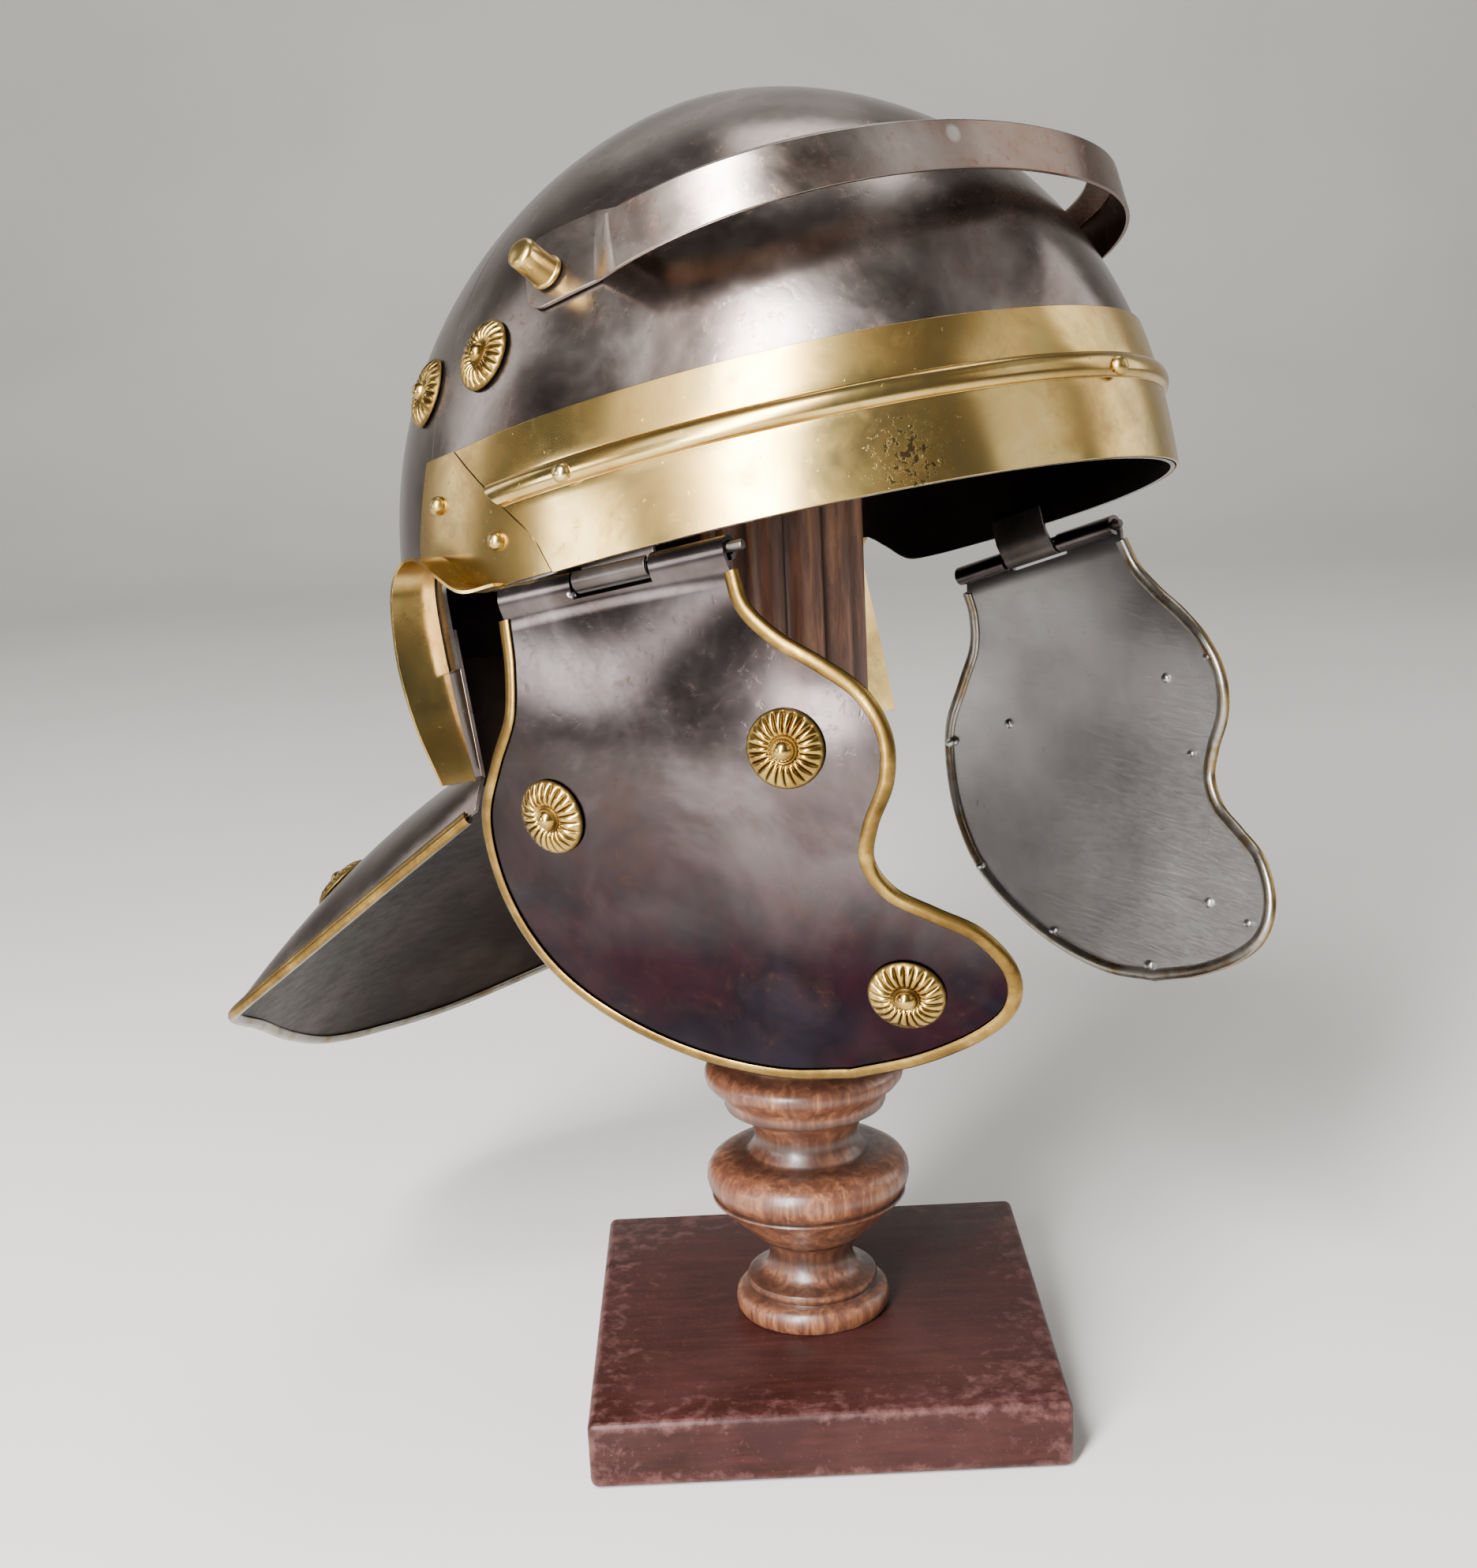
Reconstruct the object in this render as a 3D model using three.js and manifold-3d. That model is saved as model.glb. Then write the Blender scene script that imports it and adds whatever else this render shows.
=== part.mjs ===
// Roman legionary helmet on a turned wooden stand.
// Millimetres, +Z up. The origin is the middle of the underside of the stand's base.
// The helmet has its own frame from the middle of the rim: x to the face, y to the wearer's left, z to the crown
import * as THREE from 'three';
import { mergeVertices } from 'three/addons/utils/BufferGeometryUtils.js';
import Module from 'manifold-3d';

const wasm = await Module();
wasm.setup();

// Driving dimensions
const GAP = 0.3;

const SHEET = 1.2;
const BRASS = 0.8;
const INSIDE = 0.8;
const OUTSIDE = 0.7;

const helmetPlace = { x: -2.8, y: 0, z: 256.7 };
const helmetTurn = { roll: -5, tilt: 15.3, yaw: 39 };

const bowl = {
  halfLength: 120.2, halfWidth: 98.7, height: 133.4, crownShift: 5.1,
  roundness: 2.38, fullness: 1.69, rearDepth: 16,
};

const band = { height: 40, beadHeight: 24, beadWidth: 6, beadRise: 1.9 };

const hinge = {
  barrelRadius: 3.1, boreRadius: 1.7, pinRadius: 1.3, pinOut: 3.6, leafHeight: 13, recess: 4.6,
};

// Cheek guards hang from a line under the rim, swung out: u runs along it to the face, w runs down from it
const hanging = { rearX: -11.3, rearY: 101.1, rearZ: -2.9, frontX: 59.2, frontY: 91.3, frontZ: -5.5 };
const guard = { dropCurve: 0.0074, crossCurve: 0.0045, crossCentre: 23.6, crossStart: 40, plateTop: 2.2 };

// The left guard's hinge was set on askew, lower at its rear end
const sides = [
  { side: -1, word: 'right', swing: 11.6, rearU: 0, rearW: 0, frontU: 71.2, frontW: 0, leafInset: 2.9 },
  { side: 1, word: 'left', swing: 24.1, rearU: 3, rearW: 5.9, frontU: 69.5, frontW: 0.9, leafInset: 4.3 },
];

// Outline of a cheek guard from the front end of its hinge round to the rear end
const guardOutline = [
  { u: 70.6, w: 6 }, { u: 72.4, w: 15 }, { u: 79, w: 23.3 }, { u: 88, w: 30.5 }, { u: 95.4, w: 38 },
  { u: 98.8, w: 48 }, { u: 96.5, w: 58.5 }, { u: 90, w: 68 }, { u: 86.4, w: 76.5 }, { u: 89.3, w: 84.3 },
  { u: 97.5, w: 90 }, { u: 105.8, w: 95.6 }, { u: 109.8, w: 104.5 }, { u: 106.3, w: 112.8 },
  { u: 96, w: 118.9 }, { u: 79, w: 123.8 }, { u: 60, w: 126.2 }, { u: 40, w: 124.8 }, { u: 20, w: 119 },
  { u: 2, w: 109.5 },
  { u: -12, w: 97.5 }, { u: -19.5, w: 84 }, { u: -22, w: 69 }, { u: -19.4, w: 53.5 }, { u: -10.5, w: 41 },
  { u: -2.2, w: 30.5 },
];
const rearTop = { right: [{ u: 0.6, w: 18 }, { u: 0.2, w: 6 }], left: [{ u: 2, w: 20 }, { u: 3.2, w: 12 }] };
const guardRosettes = [{ u: 75.1, w: 48.5 }, { u: 4.5, w: 56.5 }, { u: 83.6, w: 107.9 }];

const edging = { reach: 2, half: 2, lip: 1.5, slot: 1.25, bottom: 1 };

// The seam between brow band and ear plate, from the rim up
const seam = [{ x: 7, z: 0 }, { x: 2.6, z: 11 }, { x: -12, z: 26 }, { x: -26, z: 40 }];

// Ear guard: the fold runs round the ear opening, plate points lie up and back from it
const earStations = [
  { foldX: -12.5, foldZ: 0.9, plateX: 6, plateZ: 0.6, flange: 4 },
  { foldX: -23, foldZ: 1.4, plateX: 1.6, plateZ: 11, flange: 7.5 },
  { foldX: -30.5, foldZ: 7.5, plateX: -13, plateZ: 26, flange: 10 },
  { foldX: -36.5, foldZ: 12.6, plateX: -27, plateZ: 40, flange: 11 },
  { foldX: -42.5, foldZ: 13.6, plateX: -43, plateZ: 41, flange: 12.5 },
  { foldX: -47.5, foldZ: 9, plateX: -52, plateZ: 20, flange: 14.5 },
  { foldX: -49.3, foldZ: 0, plateX: -55, plateZ: 1, flange: 16 },
  { foldX: -49.5, foldZ: -15, plateX: -55.5, plateZ: -14, flange: 17 },
  { foldX: -48.4, foldZ: -31, plateX: -54.3, plateZ: -30, flange: 15.5 },
  { foldX: -46, foldZ: -47, plateX: -52.4, plateZ: -43, flange: 12 },
];

// Neck guard: a point of the nape's lower edge by its angle from the face, and the edge point below it
const neckStations = [
  { angle: 112.6, x: -45, y: 94.3, z: -55 },
  { angle: 119, x: -80, y: 100.3, z: -69.8 },
  { angle: 126, x: -115, y: 106.2, z: -84.8 },
  { angle: 133, x: -143, y: 110, z: -96.5 },
  { angle: 139, x: -155.5, y: 106, z: -100.5 },
  { angle: 149, x: -172, y: 86, z: -105.5 },
  { angle: 159, x: -197, y: 57, z: -113.5 },
  { angle: 169.5, x: -214, y: 29, z: -119.5 },
  { angle: 180, x: -219, y: 0, z: -121 },
];
const neck = { wallTop: -5, wallFoot: -46, crown: 0.045, edgingStart: 113.4 };

// Brow guard: an L section, a face with a flange that leans in to the bowl
const brow = {
  sideX: 43, sideY: 95, reach: 71, squareness: 2.16, sideZ: 67.5, frontZ: 76, sideFace: 14, frontFace: 12.2,
  flangeIn: 8.5, flangeUp: 2.6,
};
const browTab = [
  { lowX: 5, lowZ: 68.5, topX: -3, topZ: 89.5 },
  { lowX: 14, lowZ: 69, topX: 7, topZ: 90.5 },
  { lowX: 29, lowZ: 70.5, topX: 24, topZ: 91 },
];
const browPin = { x: 10.5, z: 76.3, hole: 2.8, shank: 2.4, barrel: 4.4, length: 11.5, collar: 5 };

const rosette = { radius: 10, rise: 2.6, boss: 2.7, bossRise: 4.6 };
const bowlRosettes = [{ x: -14.3, z: 62.8 }, { x: -46.5, z: 61.5 }];
const neckRosettes = [
  { word: 'right', angle: 217, share: 0.48 }, { word: 'left', angle: 143, share: 0.48 },
  { word: 'middle', angle: 180, share: 0.8 },
];
const rivet = { radius: 2.6, rise: 2.2 };
const bandRivet = { x: 16.5, z: 23.2, frontAngle: -2, frontZ: 22.8 };
const earRivets = [{ x: -11.5, z: 12.4 }, { x: -36.5, z: 27.5 }];

const stand = {
  width: 140, thick: 20.8, bevel: 1.6, columnX: -1.8, shaftRadius: 24, shaftTop: 345, reeds: 12,
  headRadius: 36, headFoot: 352,
};
const turning = [
  { r: 23.4, z: 0 }, { r: 24, z: 3 }, { r: 22.8, z: 6.6 }, { r: 20.2, z: 7.4 }, { r: 20.4, z: 10.6 },
  { r: 15.6, z: 12.6 }, { r: 13, z: 16.6 }, { r: 13.8, z: 22.4 }, { r: 22, z: 30.6 }, { r: 30, z: 38 },
  { r: 29.4, z: 39.2 }, { r: 31.4, z: 44.6 }, { r: 28.6, z: 50 }, { r: 18.4, z: 52 }, { r: 16, z: 57 },
  { r: 17.6, z: 62 }, { r: 24.8, z: 68 }, { r: 25.2, z: 71.6 }, { r: 29.6, z: 75.6 }, { r: 30.8, z: 79 },
  { r: 28, z: 83 }, { r: 24, z: 85.2 },
];

// Finishes
const finish = (color, metalness, roughness) => new THREE.MeshStandardMaterial(
  { color, metalness, roughness },
);
const steel = () => finish('#6d6a6c', 1, 0.35);
const brass = () => finish('#b79a4f', 1, 0.35);
const turnedWood = () => finish('#6b3f2c', 0, 0.5);
const stainedWood = () => finish('#4a2522', 0, 0.55);

// Small helpers
const rad = THREE.MathUtils.degToRad;
const vec = (x, y, z) => new THREE.Vector3(x, y, z);
const named = (name, geometry, material) => {
  const mesh = new THREE.Mesh(geometry, material);
  mesh.name = name;
  return mesh;
};

function bare(geometry) {
  const copy = geometry.clone();
  copy.deleteAttribute('normal');
  copy.deleteAttribute('uv');
  return mergeVertices(copy, 1e-4);
}

function signedVolume(geometry) {
  const position = geometry.attributes.position;
  const index = geometry.index;
  const a = vec(0, 0, 0);
  const b = vec(0, 0, 0);
  const c = vec(0, 0, 0);
  let total = 0;
  for (let i = 0; i < index.count; i += 3) {
    a.fromBufferAttribute(position, index.getX(i));
    b.fromBufferAttribute(position, index.getX(i + 1));
    c.fromBufferAttribute(position, index.getX(i + 2));
    total += a.dot(b.cross(c)) / 6;
  }
  return total;
}

function facingOut(geometry) {
  const merged = bare(geometry);
  if (signedVolume(merged) < 0) {
    merged.setIndex(Array.from(merged.index.array).reverse());
  }
  return merged;
}

function solid(geometry) {
  const closed = facingOut(geometry);
  return new wasm.Manifold(new wasm.Mesh({
    numProp: 3,
    vertProperties: new Float32Array(closed.attributes.position.array),
    triVerts: new Uint32Array(closed.index.array),
  }));
}

function geometryOf(manifold) {
  const mesh = manifold.getMesh();
  const geometry = new THREE.BufferGeometry();
  geometry.setAttribute('position', new THREE.BufferAttribute(new Float32Array(mesh.vertProperties), 3));
  geometry.setIndex(Array.from(mesh.triVerts));
  return geometry;
}

function meshFromFaces(points, faces) {
  const geometry = new THREE.BufferGeometry().setFromPoints(points);
  geometry.setIndex(faces.flat());
  return facingOut(geometry);
}

// A sheet of metal: a grid of points on its middle surface, thickened both ways along its normals
function sheet(grid, thickness) {
  const rows = grid.length;
  const columns = grid[0].length;
  const points = [];
  const normalAt = (i, j) => {
    const along = grid[Math.min(i + 1, rows - 1)][j].clone().sub(grid[Math.max(i - 1, 0)][j]);
    const across = grid[i][Math.min(j + 1, columns - 1)].clone().sub(grid[i][Math.max(j - 1, 0)]);
    return along.cross(across).normalize();
  };
  for (const side of [0.5, -0.5]) {
    for (let i = 0; i < rows; i += 1) {
      for (let j = 0; j < columns; j += 1) {
        points.push(grid[i][j].clone().addScaledVector(normalAt(i, j), side * thickness));
      }
    }
  }
  const at = (side, i, j) => side * rows * columns + i * columns + j;
  const faces = [];
  const quad = (a, b, c, d) => faces.push([a, b, c], [a, c, d]);
  for (let i = 0; i < rows - 1; i += 1) {
    for (let j = 0; j < columns - 1; j += 1) {
      quad(at(0, i, j), at(0, i + 1, j), at(0, i + 1, j + 1), at(0, i, j + 1));
      quad(at(1, i, j), at(1, i, j + 1), at(1, i + 1, j + 1), at(1, i + 1, j));
    }
    quad(at(0, i, 0), at(1, i, 0), at(1, i + 1, 0), at(0, i + 1, 0));
    quad(at(0, i, columns - 1), at(0, i + 1, columns - 1), at(1, i + 1, columns - 1), at(1, i, columns - 1));
  }
  for (let j = 0; j < columns - 1; j += 1) {
    quad(at(0, 0, j), at(0, 0, j + 1), at(1, 0, j + 1), at(1, 0, j));
    quad(at(0, rows - 1, j), at(1, rows - 1, j), at(1, rows - 1, j + 1), at(0, rows - 1, j + 1));
  }
  return meshFromFaces(points, faces);
}

// A strip of constant section carried along frames of point, outward way and normal, closed by its two ends
function sweep(section, frames) {
  const points = frames.flatMap(({ point, out, normal }) => section.map(
    ([x, y]) => point.clone().addScaledVector(out, x).addScaledVector(normal, y),
  ));
  const count = section.length;
  const faces = [];
  for (let i = 0; i < frames.length - 1; i += 1) {
    for (let j = 0; j < count; j += 1) {
      const next = (j + 1) % count;
      const a = i * count + j;
      const b = i * count + next;
      faces.push([a, b, b + count], [a, b + count, a + count]);
    }
  }
  const cap = THREE.ShapeUtils.triangulateShape(section.map(([x, y]) => new THREE.Vector2(x, y)), []);
  const last = (frames.length - 1) * count;
  cap.forEach(([a, b, c]) => faces.push([a, c, b], [last + a, last + b, last + c]));
  return meshFromFaces(points, faces);
}

// Move a geometry whose own axis is +Z to a point, with that axis along a direction
function aimed(geometry, point, direction) {
  const turn = new THREE.Quaternion().setFromUnitVectors(vec(0, 0, 1), direction.clone().normalize());
  return geometry.clone().applyQuaternion(turn).translate(point.x, point.y, point.z);
}

const latheUp = (profile, segments) => new THREE.LatheGeometry(
  profile.map(([r, z]) => new THREE.Vector2(r, z)), segments,
).rotateX(Math.PI / 2);

// Bowl surface
function bowlShrink(z, offset = 0) {
  if (z <= 0) return 1;
  const share = Math.min(z / (bowl.height + offset), 1);
  return (1 - share ** bowl.roundness) ** (1 / bowl.fullness);
}

function bowlAt(angle, z, offset = 0) {
  const shrink = bowlShrink(z, offset);
  const shift = bowl.crownShift * Math.max(z, 0) / bowl.height;
  return vec(
    (bowl.halfLength + offset) * shrink * Math.cos(angle) + shift,
    (bowl.halfWidth + offset) * shrink * Math.sin(angle),
    z,
  );
}

// The bowl's point at a given x and height, on the right (side -1) or left (side 1)
function bowlBeside(x, z, side, offset = 0) {
  const shift = bowl.crownShift * Math.max(z, 0) / bowl.height;
  const share = (x - shift) / ((bowl.halfLength + offset) * bowlShrink(z, offset));
  return bowlAt(side * Math.acos(THREE.MathUtils.clamp(share, -1, 1)), z, offset);
}

function bowlNormal(point) {
  const shift = bowl.crownShift * Math.max(point.z, 0) / bowl.height;
  const angle = Math.atan2(point.y / bowl.halfWidth, (point.x - shift) / bowl.halfLength);
  const along = bowlAt(angle + 0.01, point.z).sub(bowlAt(angle - 0.01, point.z));
  const up = bowlAt(angle, point.z + 0.5).sub(bowlAt(angle, point.z - 0.5));
  return along.cross(up).normalize();
}

function domeSolid(offset, foot, rings, segments) {
  const heights = [foot, 0];
  for (let i = 1; i < rings; i += 1) {
    heights.push((bowl.height + offset) * Math.sin(Math.PI / 2 * i / rings));
  }
  const profile = [[0, foot], ...heights.map((z) => [bowlShrink(z, offset), z]), [0, bowl.height + offset]];
  const geometry = latheUp(profile, segments);
  const position = geometry.attributes.position;
  for (let i = 0; i < position.count; i += 1) {
    const shift = bowl.crownShift * Math.max(position.getZ(i), 0) / bowl.height;
    position.setX(i, position.getX(i) * (bowl.halfLength + offset) + shift);
    position.setY(i, position.getY(i) * (bowl.halfWidth + offset));
  }
  return geometry;
}

const DOME_RINGS = 10;
const DOME_SEGMENTS = 38;

// The bowl: a raised shell, cut level at the rim, arched over the ears and longer at the back
function makeBowl() {
  const shell = solid(domeSolid(0, -40, DOME_RINGS, DOME_SEGMENTS))
    .subtract(solid(domeSolid(-SHEET, -41, DOME_RINGS, DOME_SEGMENTS)));
  const arch = earStations.slice(0, 6).map(({ foldX, foldZ }) => [foldX + 2, foldZ - 1.4]);
  const below = [
    [150, 0], [-10.2, 0], ...arch.slice(1), [-44.5, 2], [-44.5, -bowl.rearDepth], [-150, -bowl.rearDepth],
    [-150, -60], [150, -60],
  ];
  const away = new THREE.ExtrudeGeometry(
    new THREE.Shape(below.map(([x, z]) => new THREE.Vector2(x, z))),
    { depth: 300, bevelEnabled: false, steps: 1 },
  ).rotateX(Math.PI / 2).translate(0, 150, 0);
  return geometryOf(shell.subtract(solid(away)).subtract(pinHole(-1)).subtract(pinHole(1)));
}

// The hole for a brow guard's pin, through bowl and strip
function pinHole(side) {
  const seat = bowlBeside(browPin.x, browPin.z, side);
  const hole = new THREE.CylinderGeometry(browPin.hole, browPin.hole, 20, 12).rotateX(Math.PI / 2);
  return solid(aimed(hole, seat, bowlNormal(seat)));
}

function seamAt(z) {
  const above = Math.max(seam.findIndex((point) => point.z >= z), 1);
  const low = seam[above - 1];
  const high = seam[above];
  return THREE.MathUtils.mapLinear(z, low.z, high.z, low.x, high.x);
}

// Brass brow band with its raised bead, from the right ear plate round the face to the left one
function makeBand() {
  const bead = (z) => {
    const away = Math.abs(z - band.beadHeight) / (band.beadWidth / 2);
    return away < 1 ? band.beadRise * Math.sqrt(1 - away * away) : 0;
  };
  const half = band.beadWidth / 2;
  const heights = [
    0, 11, band.beadHeight - half, band.beadHeight - half * 0.5, band.beadHeight + half * 0.5,
    band.beadHeight + half, band.height,
  ];
  const steps = 30;
  const rows = [];
  for (let i = 0; i <= steps; i += 1) {
    rows.push(heights.map((z) => {
      const offset = OUTSIDE + BRASS / 2 + bead(z);
      const endX = seamAt(z) + 0.4;
      const start = bowlBeside(endX, z, -1, offset);
      const shift = bowl.crownShift * z / bowl.height;
      const end = Math.acos((start.x - shift) / ((bowl.halfLength + offset) * bowlShrink(z, offset)));
      return bowlAt(THREE.MathUtils.lerp(-end, end, i / steps), z, offset);
    }));
  }
  return sheet(rows, BRASS);
}

// Brass ear guard: a plate on the bowl's side, folded out to a flange round the ear opening
function makeEarGuard(side) {
  const offset = OUTSIDE + BRASS / 2;
  const rows = earStations.map(({ foldX, foldZ, plateX, plateZ, flange }) => {
    const fold = bowlBeside(foldX, foldZ, side, offset);
    const onPlate = (share) => bowlBeside(
      THREE.MathUtils.lerp(foldX, plateX, share), THREE.MathUtils.lerp(foldZ, plateZ, share), side, offset,
    );
    return [onPlate(1), onPlate(0.5), fold, fold.clone().add(vec(0, side * flange, 0))];
  });
  return sheet(rows, BRASS);
}

// Neck guard: the nape wall inside the bowl's back, flared out to a broad plate
function neckPoint(angle, share) {
  const mid = -SHEET - INSIDE - SHEET / 2;
  const top = bowlAt(rad(angle), neck.wallFoot, mid);
  const edge = neckEdge(angle);
  const lift = 4 * share * (1 - share) * neck.crown * top.distanceTo(edge);
  const point = top.lerp(edge, share);
  point.z += lift;
  return point;
}

const neckRound = [
  ...neckStations,
  ...neckStations.slice(0, -1).reverse().map(({ angle, x, y, z }) => ({ angle: 360 - angle, x, y: -y, z })),
];
const neckCurve = new THREE.CatmullRomCurve3(
  neckRound.map(({ x, y, z }) => vec(x, y, z)), false, 'centripetal',
);
const neckAngles = neckRound.map(({ angle }) => angle);

function neckEdge(angle) {
  const count = neckAngles.length - 1;
  let i = 0;
  while (i < count - 1 && neckAngles[i + 1] < angle) i += 1;
  const share = (angle - neckAngles[i]) / (neckAngles[i + 1] - neckAngles[i]);
  return neckCurve.getPoint((i + THREE.MathUtils.clamp(share, 0, 1)) / count);
}

function neckNormal(angle, share) {
  const across = neckPoint(angle + 1, share).sub(neckPoint(angle - 1, share));
  const down = neckPoint(angle, Math.min(share + 0.05, 1)).sub(neckPoint(angle, share - 0.05));
  const normal = down.cross(across).normalize();
  return normal.z < 0 ? normal.negate() : normal;
}

const neckSteps = [];
neckAngles.slice(0, -1).forEach((angle, i) => {
  neckSteps.push(angle, (angle + neckAngles[i + 1]) / 2);
});
neckSteps.push(neckAngles.at(-1));

function makeNeckGuard() {
  const mid = -SHEET - INSIDE - SHEET / 2;
  const rows = neckSteps.map((angle) => [
    bowlAt(rad(angle), neck.wallTop, mid), bowlAt(rad(angle), -25, mid),
    ...[0, 0.12, 0.4, 0.7, 1].map((share) => neckPoint(angle, share)),
  ]);
  return sheet(rows, SHEET);
}

// Brass U-shaped edging that holds a sheet's edge with a little clearance
const edgingSection = [
  [edging.bottom, edging.slot], [edging.bottom, -edging.slot],
  [-edging.lip, -edging.slot], [-edging.lip * 0.6, -edging.half],
  [edging.reach * 0.5, -edging.half * 0.9], [edging.reach, 0], [edging.reach * 0.5, edging.half * 0.9],
  [-edging.lip * 0.6, edging.half], [-edging.lip, edging.slot],
];

function edgeFrames(points, normals, centre) {
  return points.map((point, i) => {
    const before = points[Math.max(i - 1, 0)];
    const after = points[Math.min(i + 1, points.length - 1)];
    const along = after.clone().sub(before).normalize();
    const normal = normals[i].clone().addScaledVector(along, -normals[i].dot(along)).normalize();
    const out = along.clone().cross(normal).normalize();
    if (centre && out.dot(point.clone().sub(centre)) < 0) out.negate();
    return { point, out, normal };
  });
}

function makeNeckEdging() {
  const steps = [neck.edgingStart, ...neckSteps.slice(1, -1), 360 - neck.edgingStart];
  const points = steps.map((angle) => neckPoint(angle, 1));
  const normals = steps.map((angle) => neckNormal(angle, 0.95));
  return sweep(edgingSection, edgeFrames(points, normals, vec(-100, 0, -70)));
}

// Rosette: a thin fluted disc with a boss, its underside flat, drawn here with plain sides
function makeRosette() {
  const { radius, rise, boss, bossRise } = rosette;
  const profile = [
    [0, 0], [radius, 0], [radius, 0.7], [radius * 0.7, rise], [boss * 1.1, rise * 0.7],
    [boss * 0.7, bossRise], [0, bossRise],
  ];
  return latheUp(profile, 12);
}

function makeRivet() {
  const { radius, rise } = rivet;
  return latheUp([[0, 0], [radius, 0], [radius * 0.8, rise * 0.65], [0, rise]], 10);
}

// Brow guard
function browPoint(turn, part) {
  const c = Math.cos(turn);
  const s = Math.sin(turn);
  const lean = [0, 0.4, 1, brow.flangeIn][part];
  const reach = brow.reach - lean;
  const half = brow.sideY - lean;
  const power = 2 / brow.squareness;
  const x = brow.sideX + reach * Math.abs(c) ** power;
  const y = half * Math.sign(s) * Math.abs(s) ** power;
  const forward = Math.abs(c) ** power;
  const face = THREE.MathUtils.lerp(brow.sideFace, brow.frontFace, forward);
  const up = [0, face * 0.5, face, face + brow.flangeUp][part];
  return vec(x, y, THREE.MathUtils.lerp(brow.sideZ, brow.frontZ, forward) + up);
}

function makeBrowGuard() {
  const offset = GAP + SHEET / 2;
  const tab = (side) => browTab.map(({ lowX, lowZ, topX, topZ }) => [0, 0.33, 0.66, 1].map(
    (share) => bowlBeside(
      THREE.MathUtils.lerp(lowX, topX, share), THREE.MathUtils.lerp(lowZ, topZ, share), side, offset + 0.4,
    ),
  ));
  const steps = 24;
  const round = [];
  for (let i = 0; i <= steps; i += 1) {
    const turn = THREE.MathUtils.lerp(-Math.PI / 2, Math.PI / 2, i / steps);
    round.push([0, 1, 2, 3].map((part) => browPoint(turn, part)));
  }
  const rows = [...tab(-1), ...round, ...tab(1).reverse()];
  return geometryOf(solid(sheet(rows, SHEET)).subtract(pinHole(-1)).subtract(pinHole(1)));
}

function makeBrowPin(side) {
  const seat = bowlBeside(browPin.x, browPin.z, side);
  const face = SHEET + GAP * 2 + 0.9;
  const { shank, barrel, length, collar } = browPin;
  const profile = [
    [0, -SHEET - 1.6], [shank, -SHEET - 1.6], [shank, face], [collar, face], [collar, face + 1],
    [barrel * 0.9, face + 1.6], [barrel, face + 3.5], [barrel, face + length - 3],
    [barrel * 0.7, face + length - 0.8], [0, face + length],
  ];
  return aimed(latheUp(profile, 12), seat, bowlNormal(seat));
}

// Cheek guards: the guard's own frame has x along the hinge, z up and y to the wearer's left
function guardDepth(u, w) {
  const { dropCurve, crossCurve, crossCentre, crossStart } = guard;
  const fade = THREE.MathUtils.smoothstep(w, 0, crossStart);
  const cross = 0.5 * crossCurve * ((u - crossCentre) ** 2 - crossCentre ** 2) * fade;
  return 0.5 * dropCurve * w * w + cross;
}

const guardPoint = (u, w, side) => vec(u, -side * guardDepth(u, w), -w);

function guardNormal(u, w, side) {
  const along = guardPoint(u + 0.5, w, side).sub(guardPoint(u - 0.5, w, side));
  const down = guardPoint(u, w + 0.5, side).sub(guardPoint(u, Math.max(w - 0.5, 0), side));
  const normal = along.cross(down).normalize();
  return normal.y * side < 0 ? normal.negate() : normal;
}

const hingeLength = ({ rearU, rearW, frontU, frontW }) => Math.hypot(frontU - rearU, frontW - rearW);

function barrel(from, to) {
  const { barrelRadius, boreRadius } = hinge;
  return latheUp([
    [boreRadius, from], [barrelRadius, from], [barrelRadius, to], [boreRadius, to], [boreRadius, from],
  ], 12).rotateY(Math.PI / 2);
}

function block(fromX, toX, fromY, toY, fromZ, toZ) {
  return new THREE.BoxGeometry(toX - fromX, toY - fromY, toZ - fromZ)
    .translate((fromX + toX) / 2, (fromY + toY) / 2, (fromZ + toZ) / 2);
}

function outlineOf(word) {
  const points = [...guardOutline, ...rearTop[word]].map(({ u, w }) => vec(u, w, 0));
  return new THREE.CatmullRomCurve3(points, false, 'centripetal').getPoints(40);
}

// A sheet cut to the outline, with a knuckle at each end of the hinge and a recess between them
function makeGuard(row) {
  const { side, word, rearU, rearW, frontU, frontW } = row;
  const across = 10;
  const down = 10;
  const rows = [];
  for (let i = 0; i <= across; i += 1) {
    const u = THREE.MathUtils.lerp(-26, 114, i / across);
    const column = [];
    for (let j = 0; j <= down; j += 1) {
      column.push(guardPoint(u, THREE.MathUtils.lerp(guard.plateTop, 130, j / down), side));
    }
    rows.push(column);
  }
  const shape = new THREE.Shape([
    new THREE.Vector2(rearU, -rearW - guard.plateTop), new THREE.Vector2(frontU, -frontW - guard.plateTop),
    ...outlineOf(word).map(({ x, y }) => new THREE.Vector2(x, -y)),
  ]);
  const prism = new THREE.ExtrudeGeometry(shape, { depth: 240, bevelEnabled: false, steps: 1 })
    .rotateX(Math.PI / 2).translate(0, 120, 0);
  const onLine = (geometry) => solid(
    geometry.rotateY(Math.atan2(frontW - rearW, frontU - rearU)).translate(rearU, 0, -rearW),
  );
  const length = hingeLength(row);
  const recess = block(length / 3 - GAP, length * 2 / 3 + GAP, -8, 8, -hinge.recess, 6);
  return geometryOf(
    solid(sheet(rows, SHEET)).intersect(solid(prism)).subtract(onLine(recess))
      .add(onLine(barrel(0, length / 3 - GAP))).add(onLine(barrel(length * 2 / 3 + GAP, length))),
  );
}

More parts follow.
